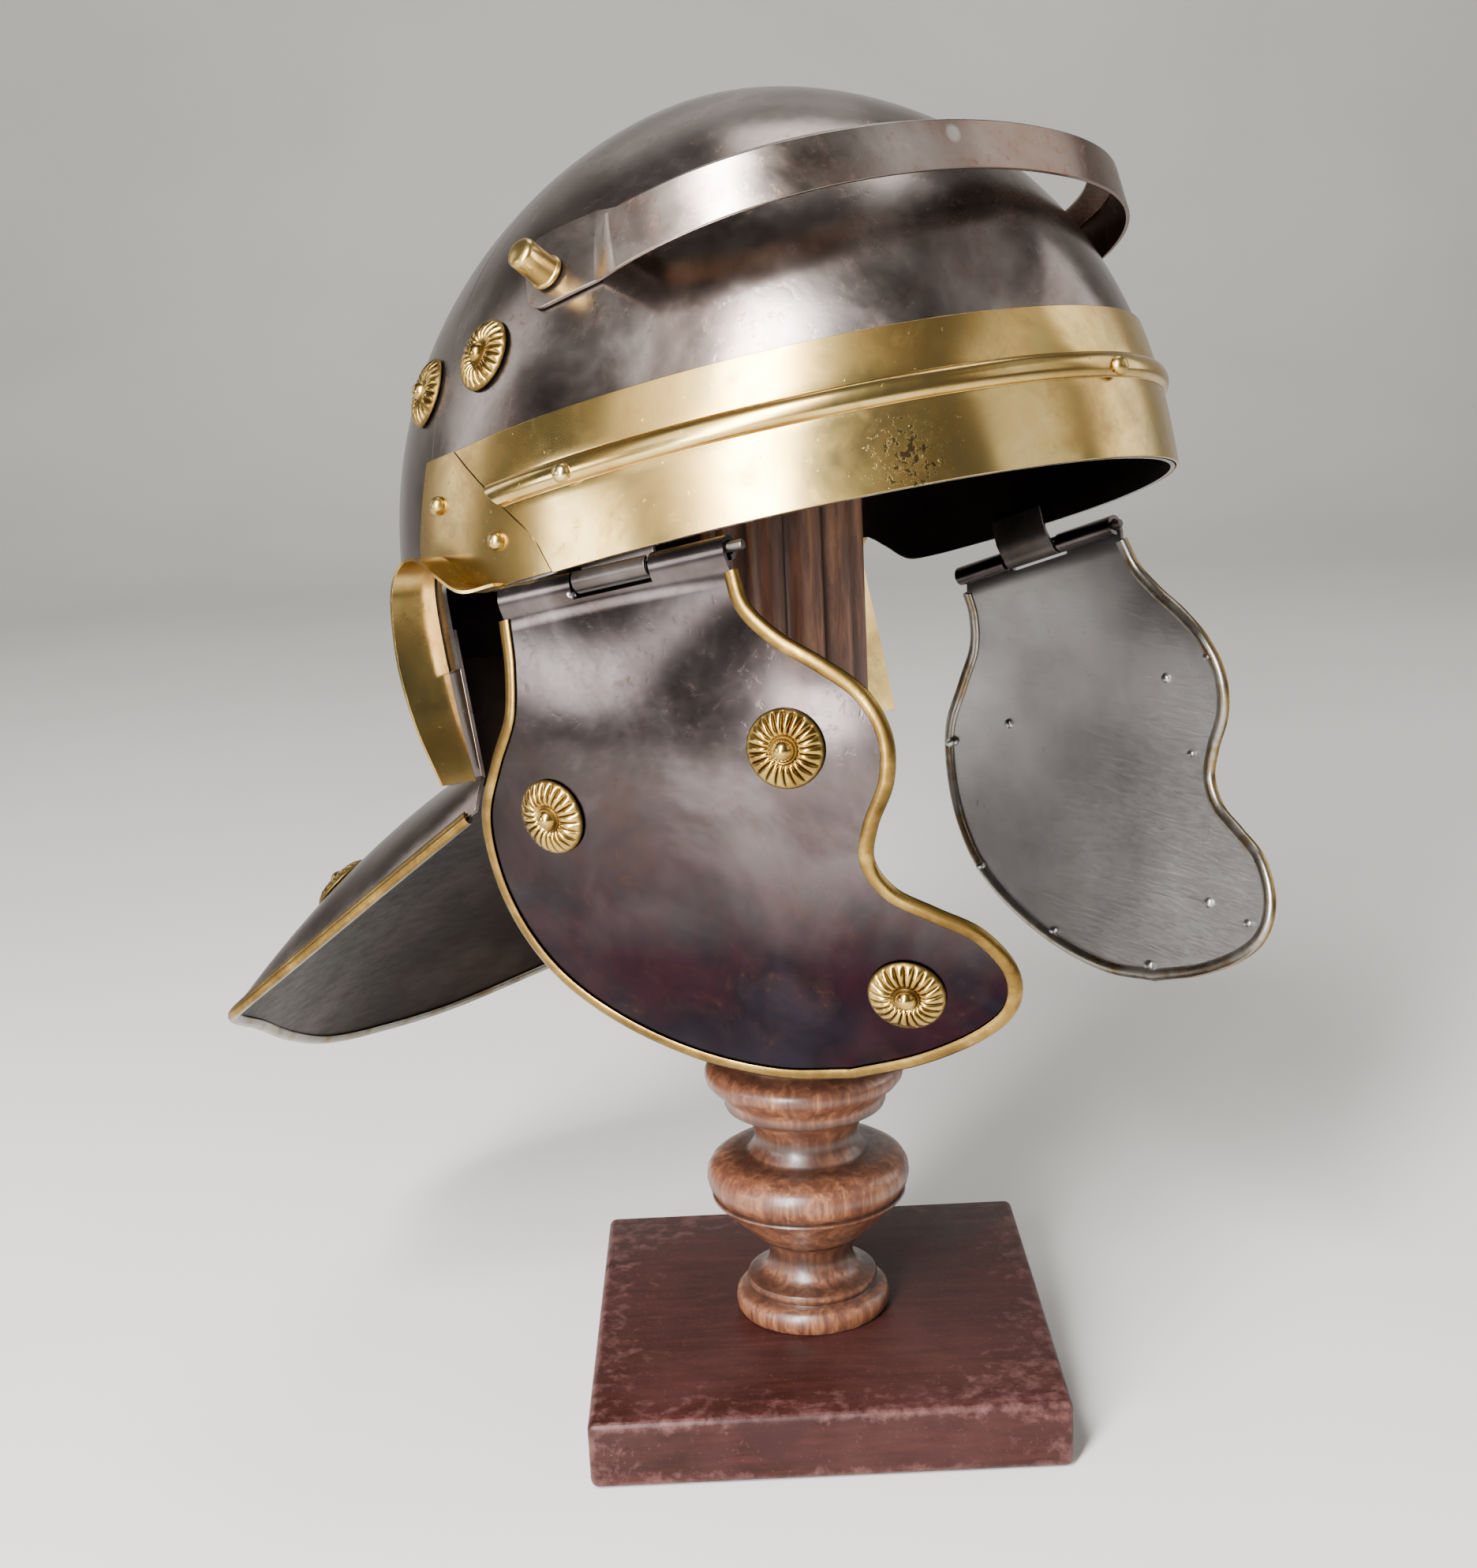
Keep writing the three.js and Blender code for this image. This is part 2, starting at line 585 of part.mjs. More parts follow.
function makeGuardEdging({ side, word }) {
  const flat = outlineOf(word);
  const points = flat.map(({ x, y }) => guardPoint(x, y, side));
  const normals = flat.map(({ x, y }) => guardNormal(x, y, side));
  return sweep(edgingSection, edgeFrames(points, normals, guardPoint(40, 75, side)));
}

// The bowl's own knuckle between the guard's two, on a leaf that stands inside the bowl
function makeHingePlate(row) {
  const { side, leafInset } = row;
  const from = hingeLength(row) / 3 + GAP;
  const to = hingeLength(row) * 2 / 3 - GAP;
  const inset = -side * leafInset;
  const leaf = block(from, to, inset - SHEET / 2, inset + SHEET / 2, -0.6, hinge.leafHeight);
  const foot = block(from, to, Math.min(inset, -side * 2), Math.max(inset, -side * 2), -0.6, 0.6);
  return geometryOf(solid(barrel(from, to)).add(solid(leaf)).add(solid(foot)));
}

function makeHingePin(row) {
  const { pinRadius, pinOut } = hinge;
  const end = hingeLength(row) + pinOut;
  return latheUp([[0, -1], [pinRadius, -1], [pinRadius, end], [0, end]], 12).rotateY(Math.PI / 2);
}

// Stand
function makeBase() {
  const half = stand.width / 2 - stand.bevel;
  const corners = [[-half, -half], [half, -half], [half, half], [-half, half]];
  return new THREE.ExtrudeGeometry(new THREE.Shape(corners.map(([x, y]) => new THREE.Vector2(x, y))), {
    depth: stand.thick - 2 * stand.bevel, bevelEnabled: true, bevelThickness: stand.bevel,
    bevelSize: stand.bevel, bevelSegments: 2,
  }).translate(0, 0, stand.bevel);
}

function makeColumn() {
  const foot = stand.thick + GAP;
  const top = turning.at(-1).z;
  const profile = [[0, 0], ...turning.map(({ r, z }) => [r, z]), [0, top]];
  const baluster = latheUp(profile, 24).translate(0, 0, foot);
  const rim = [];
  const perReed = 4;
  for (let i = 0; i < stand.reeds * perReed; i += 1) {
    const turn = 2 * Math.PI * i / (stand.reeds * perReed);
    const bulge = Math.abs(Math.sin(stand.reeds * turn / 2));
    const r = stand.shaftRadius - 2 + 2 * bulge;
    rim.push(new THREE.Vector2(r * Math.cos(turn), r * Math.sin(turn)));
  }
  const shaft = new THREE.ExtrudeGeometry(new THREE.Shape(rim), {
    depth: stand.shaftTop - foot - top + 1, bevelEnabled: false, steps: 1,
  }).translate(0, 0, foot + top - 1);
  return geometryOf(solid(baluster).add(solid(shaft)));
}

// Hidden head of the stand: a plain block turned to fit inside the crown
function makeHead(helmetMatrix) {
  const inside = domeSolid(-SHEET - INSIDE, 60, 8, 24).applyMatrix4(helmetMatrix);
  const blank = latheUp([
    [0, stand.shaftTop + GAP], [stand.shaftRadius, stand.shaftTop + GAP], [stand.headRadius, stand.headFoot],
    [stand.headRadius, 400], [0, 400],
  ], 20).translate(stand.columnX, 0, 0);
  return geometryOf(solid(blank).intersect(solid(inside)));
}

// Assembly
const model = new THREE.Group();

model.add(named('stand_base', makeBase(), stainedWood()));
const column = named('stand_column', makeColumn(), turnedWood());
column.position.x = stand.columnX;
model.add(column);

const helmet = new THREE.Group();
helmet.position.set(helmetPlace.x, helmetPlace.y, helmetPlace.z);
helmet.rotation.set(rad(helmetTurn.roll), rad(-helmetTurn.tilt), rad(-helmetTurn.yaw), 'ZYX');
helmet.updateMatrix();
model.add(helmet);
model.add(named('stand_head', makeHead(helmet.matrix), turnedWood()));

helmet.add(named('bowl', makeBowl(), steel()));
helmet.add(named('neck_guard', makeNeckGuard(), steel()));
helmet.add(named('neck_guard_edging', makeNeckEdging(), brass()));
helmet.add(named('brow_band', makeBand(), brass()));
helmet.add(named('brow_guard', makeBrowGuard(), steel()));

function place(geometry, name, material, point, normal, lift) {
  const seat = point.clone().addScaledVector(normal, lift);
  return named(name, aimed(geometry, seat, normal), material);
}

for (const { side, word } of sides) {
  helmet.add(named(`ear_guard_${word}`, makeEarGuard(side), brass()));
  helmet.add(named(`brow_guard_pin_${word}`, makeBrowPin(side), brass()));
  bowlRosettes.forEach(({ x, z }, i) => {
    const point = bowlBeside(x, z, side);
    helmet.add(place(makeRosette(), `bowl_rosette_${word}_${i + 1}`, brass(), point, bowlNormal(point), GAP));
  });
  earRivets.forEach(({ x, z }, i) => {
    const point = bowlBeside(x, z, side);
    const lift = BRASS + OUTSIDE + GAP;
    helmet.add(place(makeRivet(), `ear_rivet_${word}_${i + 1}`, brass(), point, bowlNormal(point), lift));
  });
}

const overBead = BRASS + OUTSIDE + GAP + band.beadRise;
const bandRivets = [
  { word: 'front', point: bowlAt(rad(bandRivet.frontAngle), bandRivet.frontZ) },
  ...sides.map(({ side, word }) => ({ word, point: bowlBeside(bandRivet.x, bandRivet.z, side) })),
];
for (const { word, point } of bandRivets) {
  helmet.add(place(makeRivet(), `band_rivet_${word}`, brass(), point, bowlNormal(point), overBead));
}

for (const { word, angle, share } of neckRosettes) {
  const normal = neckNormal(angle, share);
  const lift = SHEET / 2 + GAP + 0.3;
  helmet.add(place(makeRosette(), `neck_rosette_${word}`, brass(), neckPoint(angle, share), normal, lift));
}

// A group with x along a line from one point to another and z as near to upright as it goes
function alongLine(from, to) {
  const along = to.clone().sub(from).normalize();
  const up = vec(0, 0, 1).addScaledVector(along, -along.z).normalize();
  const group = new THREE.Group();
  group.position.copy(from);
  group.quaternion.setFromRotationMatrix(new THREE.Matrix4().makeBasis(along, up.clone().cross(along), up));
  return group;
}

for (const row of sides) {
  const { side, word, swing, rearU, rearW, frontU, frontW } = row;
  const hung = alongLine(
    vec(hanging.rearX, side * hanging.rearY, hanging.rearZ),
    vec(hanging.frontX, side * hanging.frontY, hanging.frontZ),
  );
  hung.rotateX(side * rad(swing));
  hung.updateMatrix();
  hung.add(named(`cheek_guard_${word}`, makeGuard(row), steel()));
  hung.add(named(`cheek_edging_${word}`, makeGuardEdging(row), brass()));
  guardRosettes.forEach(({ u, w }, i) => {
    const lift = SHEET / 2 + GAP + 0.3;
    const name = `cheek_rosette_${word}_${i + 1}`;
    hung.add(place(makeRosette(), name, brass(), guardPoint(u, w, side), guardNormal(u, w, side), lift));
  });
  helmet.add(hung);
  const hinged = alongLine(
    vec(rearU, 0, -rearW).applyMatrix4(hung.matrix), vec(frontU, 0, -frontW).applyMatrix4(hung.matrix),
  );
  hinged.name = `hinge_line_${word}`;
  hinged.add(named(`hinge_plate_${word}`, makeHingePlate(row), steel()));
  hinged.add(named(`hinge_pin_${word}`, makeHingePin(row), steel()));
  helmet.add(hinged);
}

export default model;
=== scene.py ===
import math

import bmesh
import bpy
from mathutils import Matrix, Vector


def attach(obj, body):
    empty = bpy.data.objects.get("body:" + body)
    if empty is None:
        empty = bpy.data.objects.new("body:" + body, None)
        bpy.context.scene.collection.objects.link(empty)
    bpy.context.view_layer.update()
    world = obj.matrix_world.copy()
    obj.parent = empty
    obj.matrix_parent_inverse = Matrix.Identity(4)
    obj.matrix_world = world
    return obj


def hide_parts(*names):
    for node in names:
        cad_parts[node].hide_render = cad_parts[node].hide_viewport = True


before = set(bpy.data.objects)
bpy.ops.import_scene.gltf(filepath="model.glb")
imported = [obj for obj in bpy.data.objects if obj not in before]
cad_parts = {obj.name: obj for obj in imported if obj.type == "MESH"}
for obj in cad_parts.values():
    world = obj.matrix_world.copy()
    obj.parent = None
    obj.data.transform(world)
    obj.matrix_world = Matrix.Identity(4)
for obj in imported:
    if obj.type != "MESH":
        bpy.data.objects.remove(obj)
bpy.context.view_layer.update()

MM = 0.001
SHEET = 1.2  # thickness of the steel
BRASS = 0.8  # thickness of the brass
SEATED = 0.35  # gap left between one piece and the next
MERGED = 0.004  # vertices closer than this become one
EDGE_ROUNDING = 0.25
ROUNDED_FROM = 40  # degrees between two faces from which their edge is rounded
STANDING = "helmet_and_stand"

# The helmet has its own frame, in millimetres: x to the face, y to the wearer's left, z to the crown
HELMET = (
    Matrix.Translation((-2.8, 0, 256.7))
    @ Matrix.Rotation(math.radians(-39), 4, "Z")
    @ Matrix.Rotation(math.radians(-15.3), 4, "Y")
    @ Matrix.Rotation(math.radians(-5), 4, "X")
)
TO_METRES = Matrix.Scale(MM, 4)

# Half the bowl's length and width at the brim, its height, how far forward the crown lies, and two powers
# that shape the curve from brim to crown
BOWL = {"length": 120.2, "width": 98.7, "height": 133.4, "shift": 5.1, "round": 2.38, "full": 1.69}
BAND = {"height": 40, "bead_height": 24, "bead_half": 3.1, "bead_rise": 2.1}
SEAM = [(0, 7), (11, 2.6), (26, -12), (40, -26)]  # height, x
SEAM_GAP = 0.65  # between the band's end and the middle of the seam

# Lower edge of the bowl over the ear, by x
EAR_ARCH = [(-10.2, 0), (-21, 0.4), (-28.5, 6.1), (-34.5, 11.2), (-40.5, 12.2), (-44.5, 6), (-44.9, -16)]

EAR_GUARD = [  # fold x, fold z, plate x, plate z, flange
    (-12.5, 0.9, 6, 0.6, 4),
    (-23, 1.4, 1.6, 11, 7.5),
    (-30.5, 7.5, -13, 26, 10),
    (-36.5, 12.6, -27, 40, 11),
    (-42.5, 13.6, -43, 41, 12.5),
    (-47.5, 9, -52, 20, 14.5),
    (-49.3, 0, -55, 1, 16),
    (-49.5, -15, -55.5, -14, 17),
    (-48.4, -31, -54.3, -30, 15.5),
    (-46, -47, -52.4, -43, 12),
]

NECK_EDGE = [  # angle from the face, x, y, z
    (112.6, -45, 94.3, -55),
    (119, -80, 100.3, -69.8),
    (126, -115, 106.2, -84.8),
    (133, -143, 110, -96.5),
    (139, -155.5, 106, -100.5),
    (149, -172, 86, -105.5),
    (159, -197, 57, -113.5),
    (169.5, -214, 29, -119.5),
    (180, -219, 0, -121),
]
NAPE_TOP = -5
NAPE_FOOT = -46
NAPE_INSET = -SHEET * 1.5 - 0.5
NECK_CROWN = 0.045

BROW = {
    "x": 43, "y": 95, "reach": 71, "square": 2.16, "side_z": 67.5, "front_z": 76, "side_face": 14,
    "front_face": 12.2, "flange_in": 8.5, "flange_up": 2.6,
}
BROW_TAB = [  # low x, low z, top x, top z
    (5, 68.5, -3, 89.5),
    (14, 69, 7, 90.5),
    (29, 70.5, 24, 91),
]
BROW_PIN = (10.5, 76.3)
PITTED = (-38.3, 8)  # angle and height of a pitted patch on the brow band
SOLDER_DROP = (0.043, -0.075, 0.37)  # on the strip's face, in metres
BOWL_ROSETTES = [(-14.3, 62.8), (-46.5, 61.5)]  # x, z
EAR_RIVETS = [(-11.5, 12.4), (-36.5, 27.5)]  # x, z
SIDE_RIVET = (16.5, 23.2)  # x, z
FRONT_RIVET = (-2, 22.8)  # angle, z
NECK_ROSETTES = [(217, 0.48, "right"), (143, 0.48, "left"), (180, 0.8, "middle")]  # angle, share out

HANGING_REAR = (-11.3, 101.1, -2.9)
HANGING_FRONT = (59.2, 91.3, -5.5)
SIDES = {-1: "right", 1: "left"}
HINGE_LINES = {  # by side: swing, u and w of its rear end, u and w of its front end, inset of the bowl's leaf
    -1: (11.6, 0, 0, 71.2, 0, 2.9),
    1: (24.1, 3, 5.9, 69.5, 0.9, 4.3),
}

# Outline of a cheek guard from the hinge down: u to the face, w down
GUARD_FRONT = [
    (70.6, 6), (72.4, 15), (79, 23.3), (88, 30.5), (95.4, 38), (98.8, 48), (96.5, 58.5), (90, 68),
    (86.4, 76.5), (89.3, 84.3), (97.5, 90), (105.8, 95.6), (109.8, 104.5), (106.3, 112.8), (96, 118.9),
    (79, 123.8), (60, 126.2),
]
REAR_TOP = {-1: [(0.2, 6), (0.6, 18)], 1: [(3.2, 12), (2, 20)]}
GUARD_REAR = [
    (-2.2, 30.5), (-10.5, 41), (-19.4, 53.5), (-22, 69), (-19.5, 84), (-12, 97.5), (2, 109.5),
    (20, 119), (40, 124.8), (60, 126.2),
]
GUARD_ROSETTES = [(75.1, 48.5), (4.5, 56.5), (83.6, 107.9)]
GUARD_TOP = 6
GUARD_FOOT = 126.1
GUARD_DISH = {"drop": 0.0074, "cross": 0.0045, "middle": 23.6, "starts": 40}


# Helpers for shapes

def smooth(rows, share):
    """A point at a share of the way along a smooth line through the rows."""
    knots = [Vector(row) for row in rows]
    padded = [knots[0] * 2 - knots[1], *knots, knots[-1] * 2 - knots[-2]]
    place = min(max(share, 0), 1) * (len(knots) - 1)
    k = min(int(place), len(knots) - 2)
    t = place - k
    a, b, c, d = padded[k:k + 4]
    squared = (2 * a - 5 * b + 4 * c - d) * t ** 2
    cubed = (3 * b - a - 3 * c + d) * t ** 3
    return 0.5 * (2 * b + (c - a) * t + squared + cubed)


def straight(rows, value):
    """The second column of a table at a value of the first, which rises."""
    for (x0, y0), (x1, y1) in zip(rows, rows[1:]):
        if value <= x1:
            return y0 + (y1 - y0) * max(value - x0, 0) / (x1 - x0)
    return rows[-1][1]


def mix(a, b, share):
    return a + (b - a) * share


def bowl_shrink(z, offset=0):
    if z <= 0:
        return 1
    share = min(z / (BOWL["height"] + offset), 1)
    return (1 - share ** BOWL["round"]) ** (1 / BOWL["full"])


def bowl_at(angle, z, offset=0):
    shrink = bowl_shrink(z, offset)
    return Vector((
        (BOWL["length"] + offset) * shrink * math.cos(angle) + BOWL["shift"] * max(z, 0) / BOWL["height"],
        (BOWL["width"] + offset) * shrink * math.sin(angle),
        z,
    ))


def bowl_angle(x, z, offset=0):
    shift = BOWL["shift"] * max(z, 0) / BOWL["height"]
    share = (x - shift) / ((BOWL["length"] + offset) * bowl_shrink(z, offset))
    return math.acos(min(max(share, -1), 1))


def bowl_beside(x, z, side, offset=0):
    return bowl_at(side * bowl_angle(x, z, offset), z, offset)


def surface_normal(place, s, t, step, away=Vector((0, 0, 0))):
    """Normal of a surface place(s, t), pointing away from a point."""
    along = place(s + step, t) - place(s - step, t)
    across = place(s, t + step) - place(s, t - step)
    normal = along.cross(across).normalized()
    return -normal if normal.dot(place(s, t) - away) < 0 else normal


def bowl_normal(x, z, side):
    angle = side * bowl_angle(x, z)
    return surface_normal(bowl_at, angle, z, 0.02, Vector((0, 0, -20)))


def stand_up(point, normal):
    """Places what is modelled along +Z on a point, with +Z along the normal."""
    return Matrix.Translation(point) @ normal.to_track_quat("Z", "Y").to_matrix().to_4x4()


def finished(name, bm, finishes, body, nodes, sharp):
    """Makes the piece, smooth but for its sharp edges, on its body and in place of its CAD nodes."""
    mesh = bpy.data.meshes.new(name)
    bm.to_mesh(mesh)
    bm.free()
    for face in mesh.polygons:
        face.use_smooth = True
    mesh.set_sharp_from_angle(angle=math.radians(sharp))
    for finish in finishes:
        mesh.materials.append(finish)
    piece = bpy.data.objects.new(name, mesh)
    bpy.context.scene.collection.objects.link(piece)
    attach(piece, body)
    if nodes:
        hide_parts(*nodes)
    return piece


def surface(columns, rows, place, matrix, inside=None, drop=None, mark=None):
    """A grid laid on place(s, t), with s and t from 0 to 1, its faces turned away from the point inside.

    Drop tells from s and t which faces are left out. A mark is the name of a vertex attribute and a function
    of s and t for its value.
    """
    bm = bmesh.new()
    bmesh.ops.create_grid(bm, x_segments=columns, y_segments=rows, size=0.5)
    if mark:
        layer = bm.verts.layers.float.new(mark[0])
        for vert in bm.verts:
            vert[layer] = mark[1](vert.co.x + 0.5, vert.co.y + 0.5)
    if drop:
        spare = [f for f in bm.faces if drop(f.calc_center_median().x + 0.5, f.calc_center_median().y + 0.5)]
        bmesh.ops.delete(bm, geom=spare, context="FACES")
    for vert in bm.verts:
        vert.co = place(vert.co.x + 0.5, vert.co.y + 0.5)
    bmesh.ops.transform(bm, matrix=matrix, verts=bm.verts)
    bmesh.ops.remove_doubles(bm, verts=bm.verts, dist=MERGED)
    bmesh.ops.recalc_face_normals(bm, faces=bm.faces)
    if inside is not None:
        outward = sum(f.normal.dot(f.calc_center_median() - inside) * f.calc_area() for f in bm.faces)
        if outward < 0:
            bmesh.ops.reverse_faces(bm, faces=bm.faces)
    bmesh.ops.transform(bm, matrix=TO_METRES, verts=bm.verts)
    return bm


def thicken(piece, thickness, inner_finish=False):
    """Gives a sheet its thickness about its middle, and breaks its sharp edges."""
    wall = piece.modifiers.new("wall", "SOLIDIFY")
    wall.thickness = thickness * MM
    wall.offset = 0
    wall.use_even_offset = False
    if inner_finish:
        wall.material_offset = 1
    rounding = piece.modifiers.new("edges", "BEVEL")
    rounding.width = EDGE_ROUNDING * MM
    rounding.segments = 2
    rounding.limit_method = "ANGLE"
    rounding.angle_limit = math.radians(ROUNDED_FROM)
    rounding.harden_normals = True


def turned(profile, steps, matrix):
    """A profile of radius and height spun round +Z."""
    bm = bmesh.new()
    verts = [bm.verts.new((r, 0, z)) for r, z in profile]
    edges = [bm.edges.new(pair) for pair in zip(verts, verts[1:])]
    bmesh.ops.spin(
        bm, geom=verts + edges, axis=(0, 0, 1), cent=(0, 0, 0), steps=steps, angle=math.tau, use_merge=True,
    )
    bmesh.ops.remove_doubles(bm, verts=bm.verts, dist=MERGED)
    bmesh.ops.recalc_face_normals(bm, faces=bm.faces)
    bmesh.ops.transform(bm, matrix=TO_METRES @ matrix, verts=bm.verts)
    return bm


def joined(parts):
    """Several meshes as one."""
    whole = bmesh.new()
    for part in parts:
        scratch = bpy.data.meshes.new("scratch")
        part.to_mesh(scratch)
        part.free()
        whole.from_mesh(scratch)
        bpy.data.meshes.remove(scratch)
    return whole


def bead_along(section, frames, matrix):
    """A closed section of out and normal distances carried along frames of point, out and normal."""
    count = len(section)
    last = len(frames) - 1

    def place(s, t):
        point, out, normal = frames[round(t * last)]
        x, y = section[round(s * count) % count]
        return point + out * x + normal * y

    def inner(s, t):
        return 1 if section[round(s * count) % count][1] < 0 else 0

    bm = surface(count, last, place, Matrix.Identity(4), mark=("inner", inner))
    bmesh.ops.holes_fill(bm, edges=[e for e in bm.edges if e.is_boundary], sides=0)
    bmesh.ops.recalc_face_normals(bm, faces=bm.faces)
    bmesh.ops.transform(bm, matrix=TO_METRES @ matrix @ TO_METRES.inverted(), verts=bm.verts)
    return bm


def edge_frames(points, normals, centre):
    """Frames of point, outward direction and normal along an edge."""
    frames = []
    for i, point in enumerate(points):
        along = (points[min(i + 1, len(points) - 1)] - points[max(i - 1, 0)]).normalized()
        normal = (normals[i] - along * normals[i].dot(along)).normalized()
        out = along.cross(normal).normalized()
        if out.dot(point - centre) < 0:
            out.negate()
        frames.append((point, out, normal))
    return frames


# Out past the sheet's edge and along its normal
EDGING_SECTION = [
    (1.1, 0.75), (1.1, -0.75), (-1.5, -0.75), (-1.75, -1.05), (-1.5, -1.35), (-0.5, -1.6), (0.6, -1.55),
    (1.4, -1.2), (1.85, -0.65), (2, 0), (1.85, 0.65), (1.4, 1.2), (0.6, 1.55), (-0.5, 1.6), (-1.5, 1.35),
    (-1.75, 1.05), (-1.5, 0.75),
]


# Materials

# Sockets of a MapRange node, and of a Mix node that blends colours
VALUE, LOW, HIGH, TO_LOW, TO_HIGH = 0, 1, 2, 3, 4
SHARE, BELOW, ABOVE, BLENDED = 0, 6, 7, 2


def linear(hex_colour):
    """An sRGB hex colour as a linear one."""
    parts = [int(hex_colour[i:i + 2], 16) / 255 for i in (1, 3, 5)]
    return (*[c / 12.92 if c <= 0.04045 else ((c + 0.055) / 1.055) ** 2.4 for c in parts], 1)


def grain(mm):
    """Scale of a noise whose blotches are about so many millimetres across."""
    return 1000 / mm


def add(tree, kind, settings, output=0):
    """Adds a node and gives one of its outputs.

    A setting goes by the name of a property, or by the name or number of a socket. It is a value, an sRGB
    hex colour, or another node's output to link. Stops are positions and hex colours of a colour ramp.
    """
    node = tree.nodes.new("ShaderNode" + kind)
    for key, value in settings.items():
        if key == "stops":
            stops = node.color_ramp.elements
            while len(stops) < len(value):
                stops.new(0.5)
            for stop, (position, colour) in zip(stops, value):
                stop.position = position
                stop.color = linear(colour)
        elif isinstance(value, bpy.types.NodeSocket):
            tree.links.new(value, node.inputs[key])
        elif isinstance(key, str) and hasattr(node, key):
            setattr(node, key, value)
        else:
            node.inputs[key].default_value = linear(value) if isinstance(value, str) else value
    return node.outputs[output] if node.outputs else None


def bare_metal(tree, colour, roughness, normal):
    """A metal surface without lacquer, and the end of its material."""
    look = add(tree, "BsdfPrincipled", {
        "Metallic": 1, "Base Color": colour, "Roughness": roughness, "Normal": normal,
    })
    add(tree, "OutputMaterial", {"Surface": look})


def uneven(tree, where, depth_mm, grains):
    """Normals of a surface that rises and falls with a noise."""
    height = add(tree, "TexNoise", {"Vector": where, **grains})
    return add(tree, "Bump", {"Height": height, "Distance": depth_mm * MM})


def new_finish(name):
    """An empty material, its nodes, and the place on the object that its patterns follow."""
    finish = bpy.data.materials.new(name)
    finish.use_nodes = True
    tree = finish.node_tree
    tree.nodes.clear()
    return finish, tree, add(tree, "TexCoord", {}, "Object")


def patches(tree, where, low, high, grains):
    """Shares from 0 to 1 that grow where a noise rises from low to high."""
    cloud = add(tree, "TexNoise", {"Vector": where, **grains})
    return add(tree, "MapRange", {VALUE: cloud, LOW: low, HIGH: high})


def stained(tree, colour, share, depth, stain):
    """The colour with a stain over it, by its share and by how deep it goes."""
    part = add(tree, "Math", {"operation": "MULTIPLY", 0: share, 1: depth})
    return add(tree, "Mix", {"data_type": "RGBA", SHARE: part, BELOW: colour, ABOVE: stain}, BLENDED)


def browned_steel(name, dark, mid, light, rust, rough=(0.16, 0.3), dents=0.3, tint=None, rusting=0.52):
    """Hand-raised steel sheet, polished and then browned: dark clouds, rust freckles, soft dents."""
    finish, tree, where = new_finish(name)
    clouds = add(tree, "TexNoise", {
        "Vector": where, "Scale": grain(46), "Detail": 5, "Roughness": 0.6, "Distortion": 0.4,
    })
    colour = add(tree, "ValToRGB", {0: clouds, "stops": [(0.33, dark), (0.5, mid), (0.68, light)]})
    if tint:
        colour = tint(tree, where, colour)
    smears = patches(tree, where, rusting, rusting + 0.2, {
        "Scale": grain(17), "Detail": 6, "Roughness": 0.7, "Distortion": 0.8,
    })
    freckles = patches(tree, where, 0.56, 0.72, {"Scale": grain(3.2), "Detail": 5, "Roughness": 0.7})
    speckled = add(tree, "Math", {"operation": "MULTIPLY_ADD", 0: freckles, 1: 0.75, 2: 0.2})
    rusty = add(tree, "Math", {"operation": "MULTIPLY", 0: smears, 1: speckled})
    colour = stained(tree, colour, rusty, 1, rust)
    sheen = add(tree, "MapRange", {VALUE: clouds, LOW: 0.3, HIGH: 0.7, TO_LOW: rough[0], TO_HIGH: rough[1]})
    roughness = add(tree, "Math", {"operation": "MULTIPLY_ADD", 0: rusty, 1: 0.22, 2: sheen})
    waves = uneven(tree, where, dents, {"Scale": grain(34), "Detail": 2, "Roughness": 0.4})
    pits = add(tree, "Bump", {"Height": freckles, "Distance": -0.03 * MM, "Strength": 0.5, "Normal": waves})
    bare_metal(tree, colour, roughness, pits)
    return finish


def tint_and_painted_reflection(tree, where, colour):
    """Purple and blue tints low on the guard, magenta in its middle: partly a real heat tint, partly a
    painted dark reflection that darkens the guard's lower part.
    """
    height = add(tree, "SeparateXYZ", {0: where}, "Z")
    # Painted reflection: the sheet is darkened towards the guard's foot.
    low = add(tree, "MapRange", {VALUE: height, LOW: 0.225, HIGH: 0.165})
    cloud = add(tree, "TexNoise", {
        "Vector": where, "Scale": grain(34), "Detail": 3, "Roughness": 0.5, "Distortion": 0.3,
    })
    tint_and_reflection_colours = add(tree, "ValToRGB", {
        0: cloud, "stops": [(0.34, "#0f0a10"), (0.46, "#260d18"), (0.56, "#140e17"), (0.68, "#211c27")],
    })
    return stained(tree, colour, low, 0.92, tint_and_reflection_colours)


def brown_and_shaded_end(tree, where, colour):
    """The strip's left end is browner and darker than the rest, partly a brown stain and partly painted
    shade, with a flat drop of solder on its face.
    """
    along = add(tree, "SeparateXYZ", {0: where}, "X")
    # Painted shade: this end is darkened as well as browned.
    brown_and_shade_share = add(tree, "MapRange", {VALUE: along, LOW: 0.01, HIGH: 0.06})
    colour = stained(tree, colour, brown_and_shade_share, 0.8, "#5a4535")
    away = add(tree, "VectorMath", {"operation": "DISTANCE", 0: where, 1: SOLDER_DROP}, "Value")
    drop = add(tree, "MapRange", {VALUE: away, LOW: 0.0027, HIGH: 0.0015})
    return stained(tree, colour, drop, 1, "#aba59d")


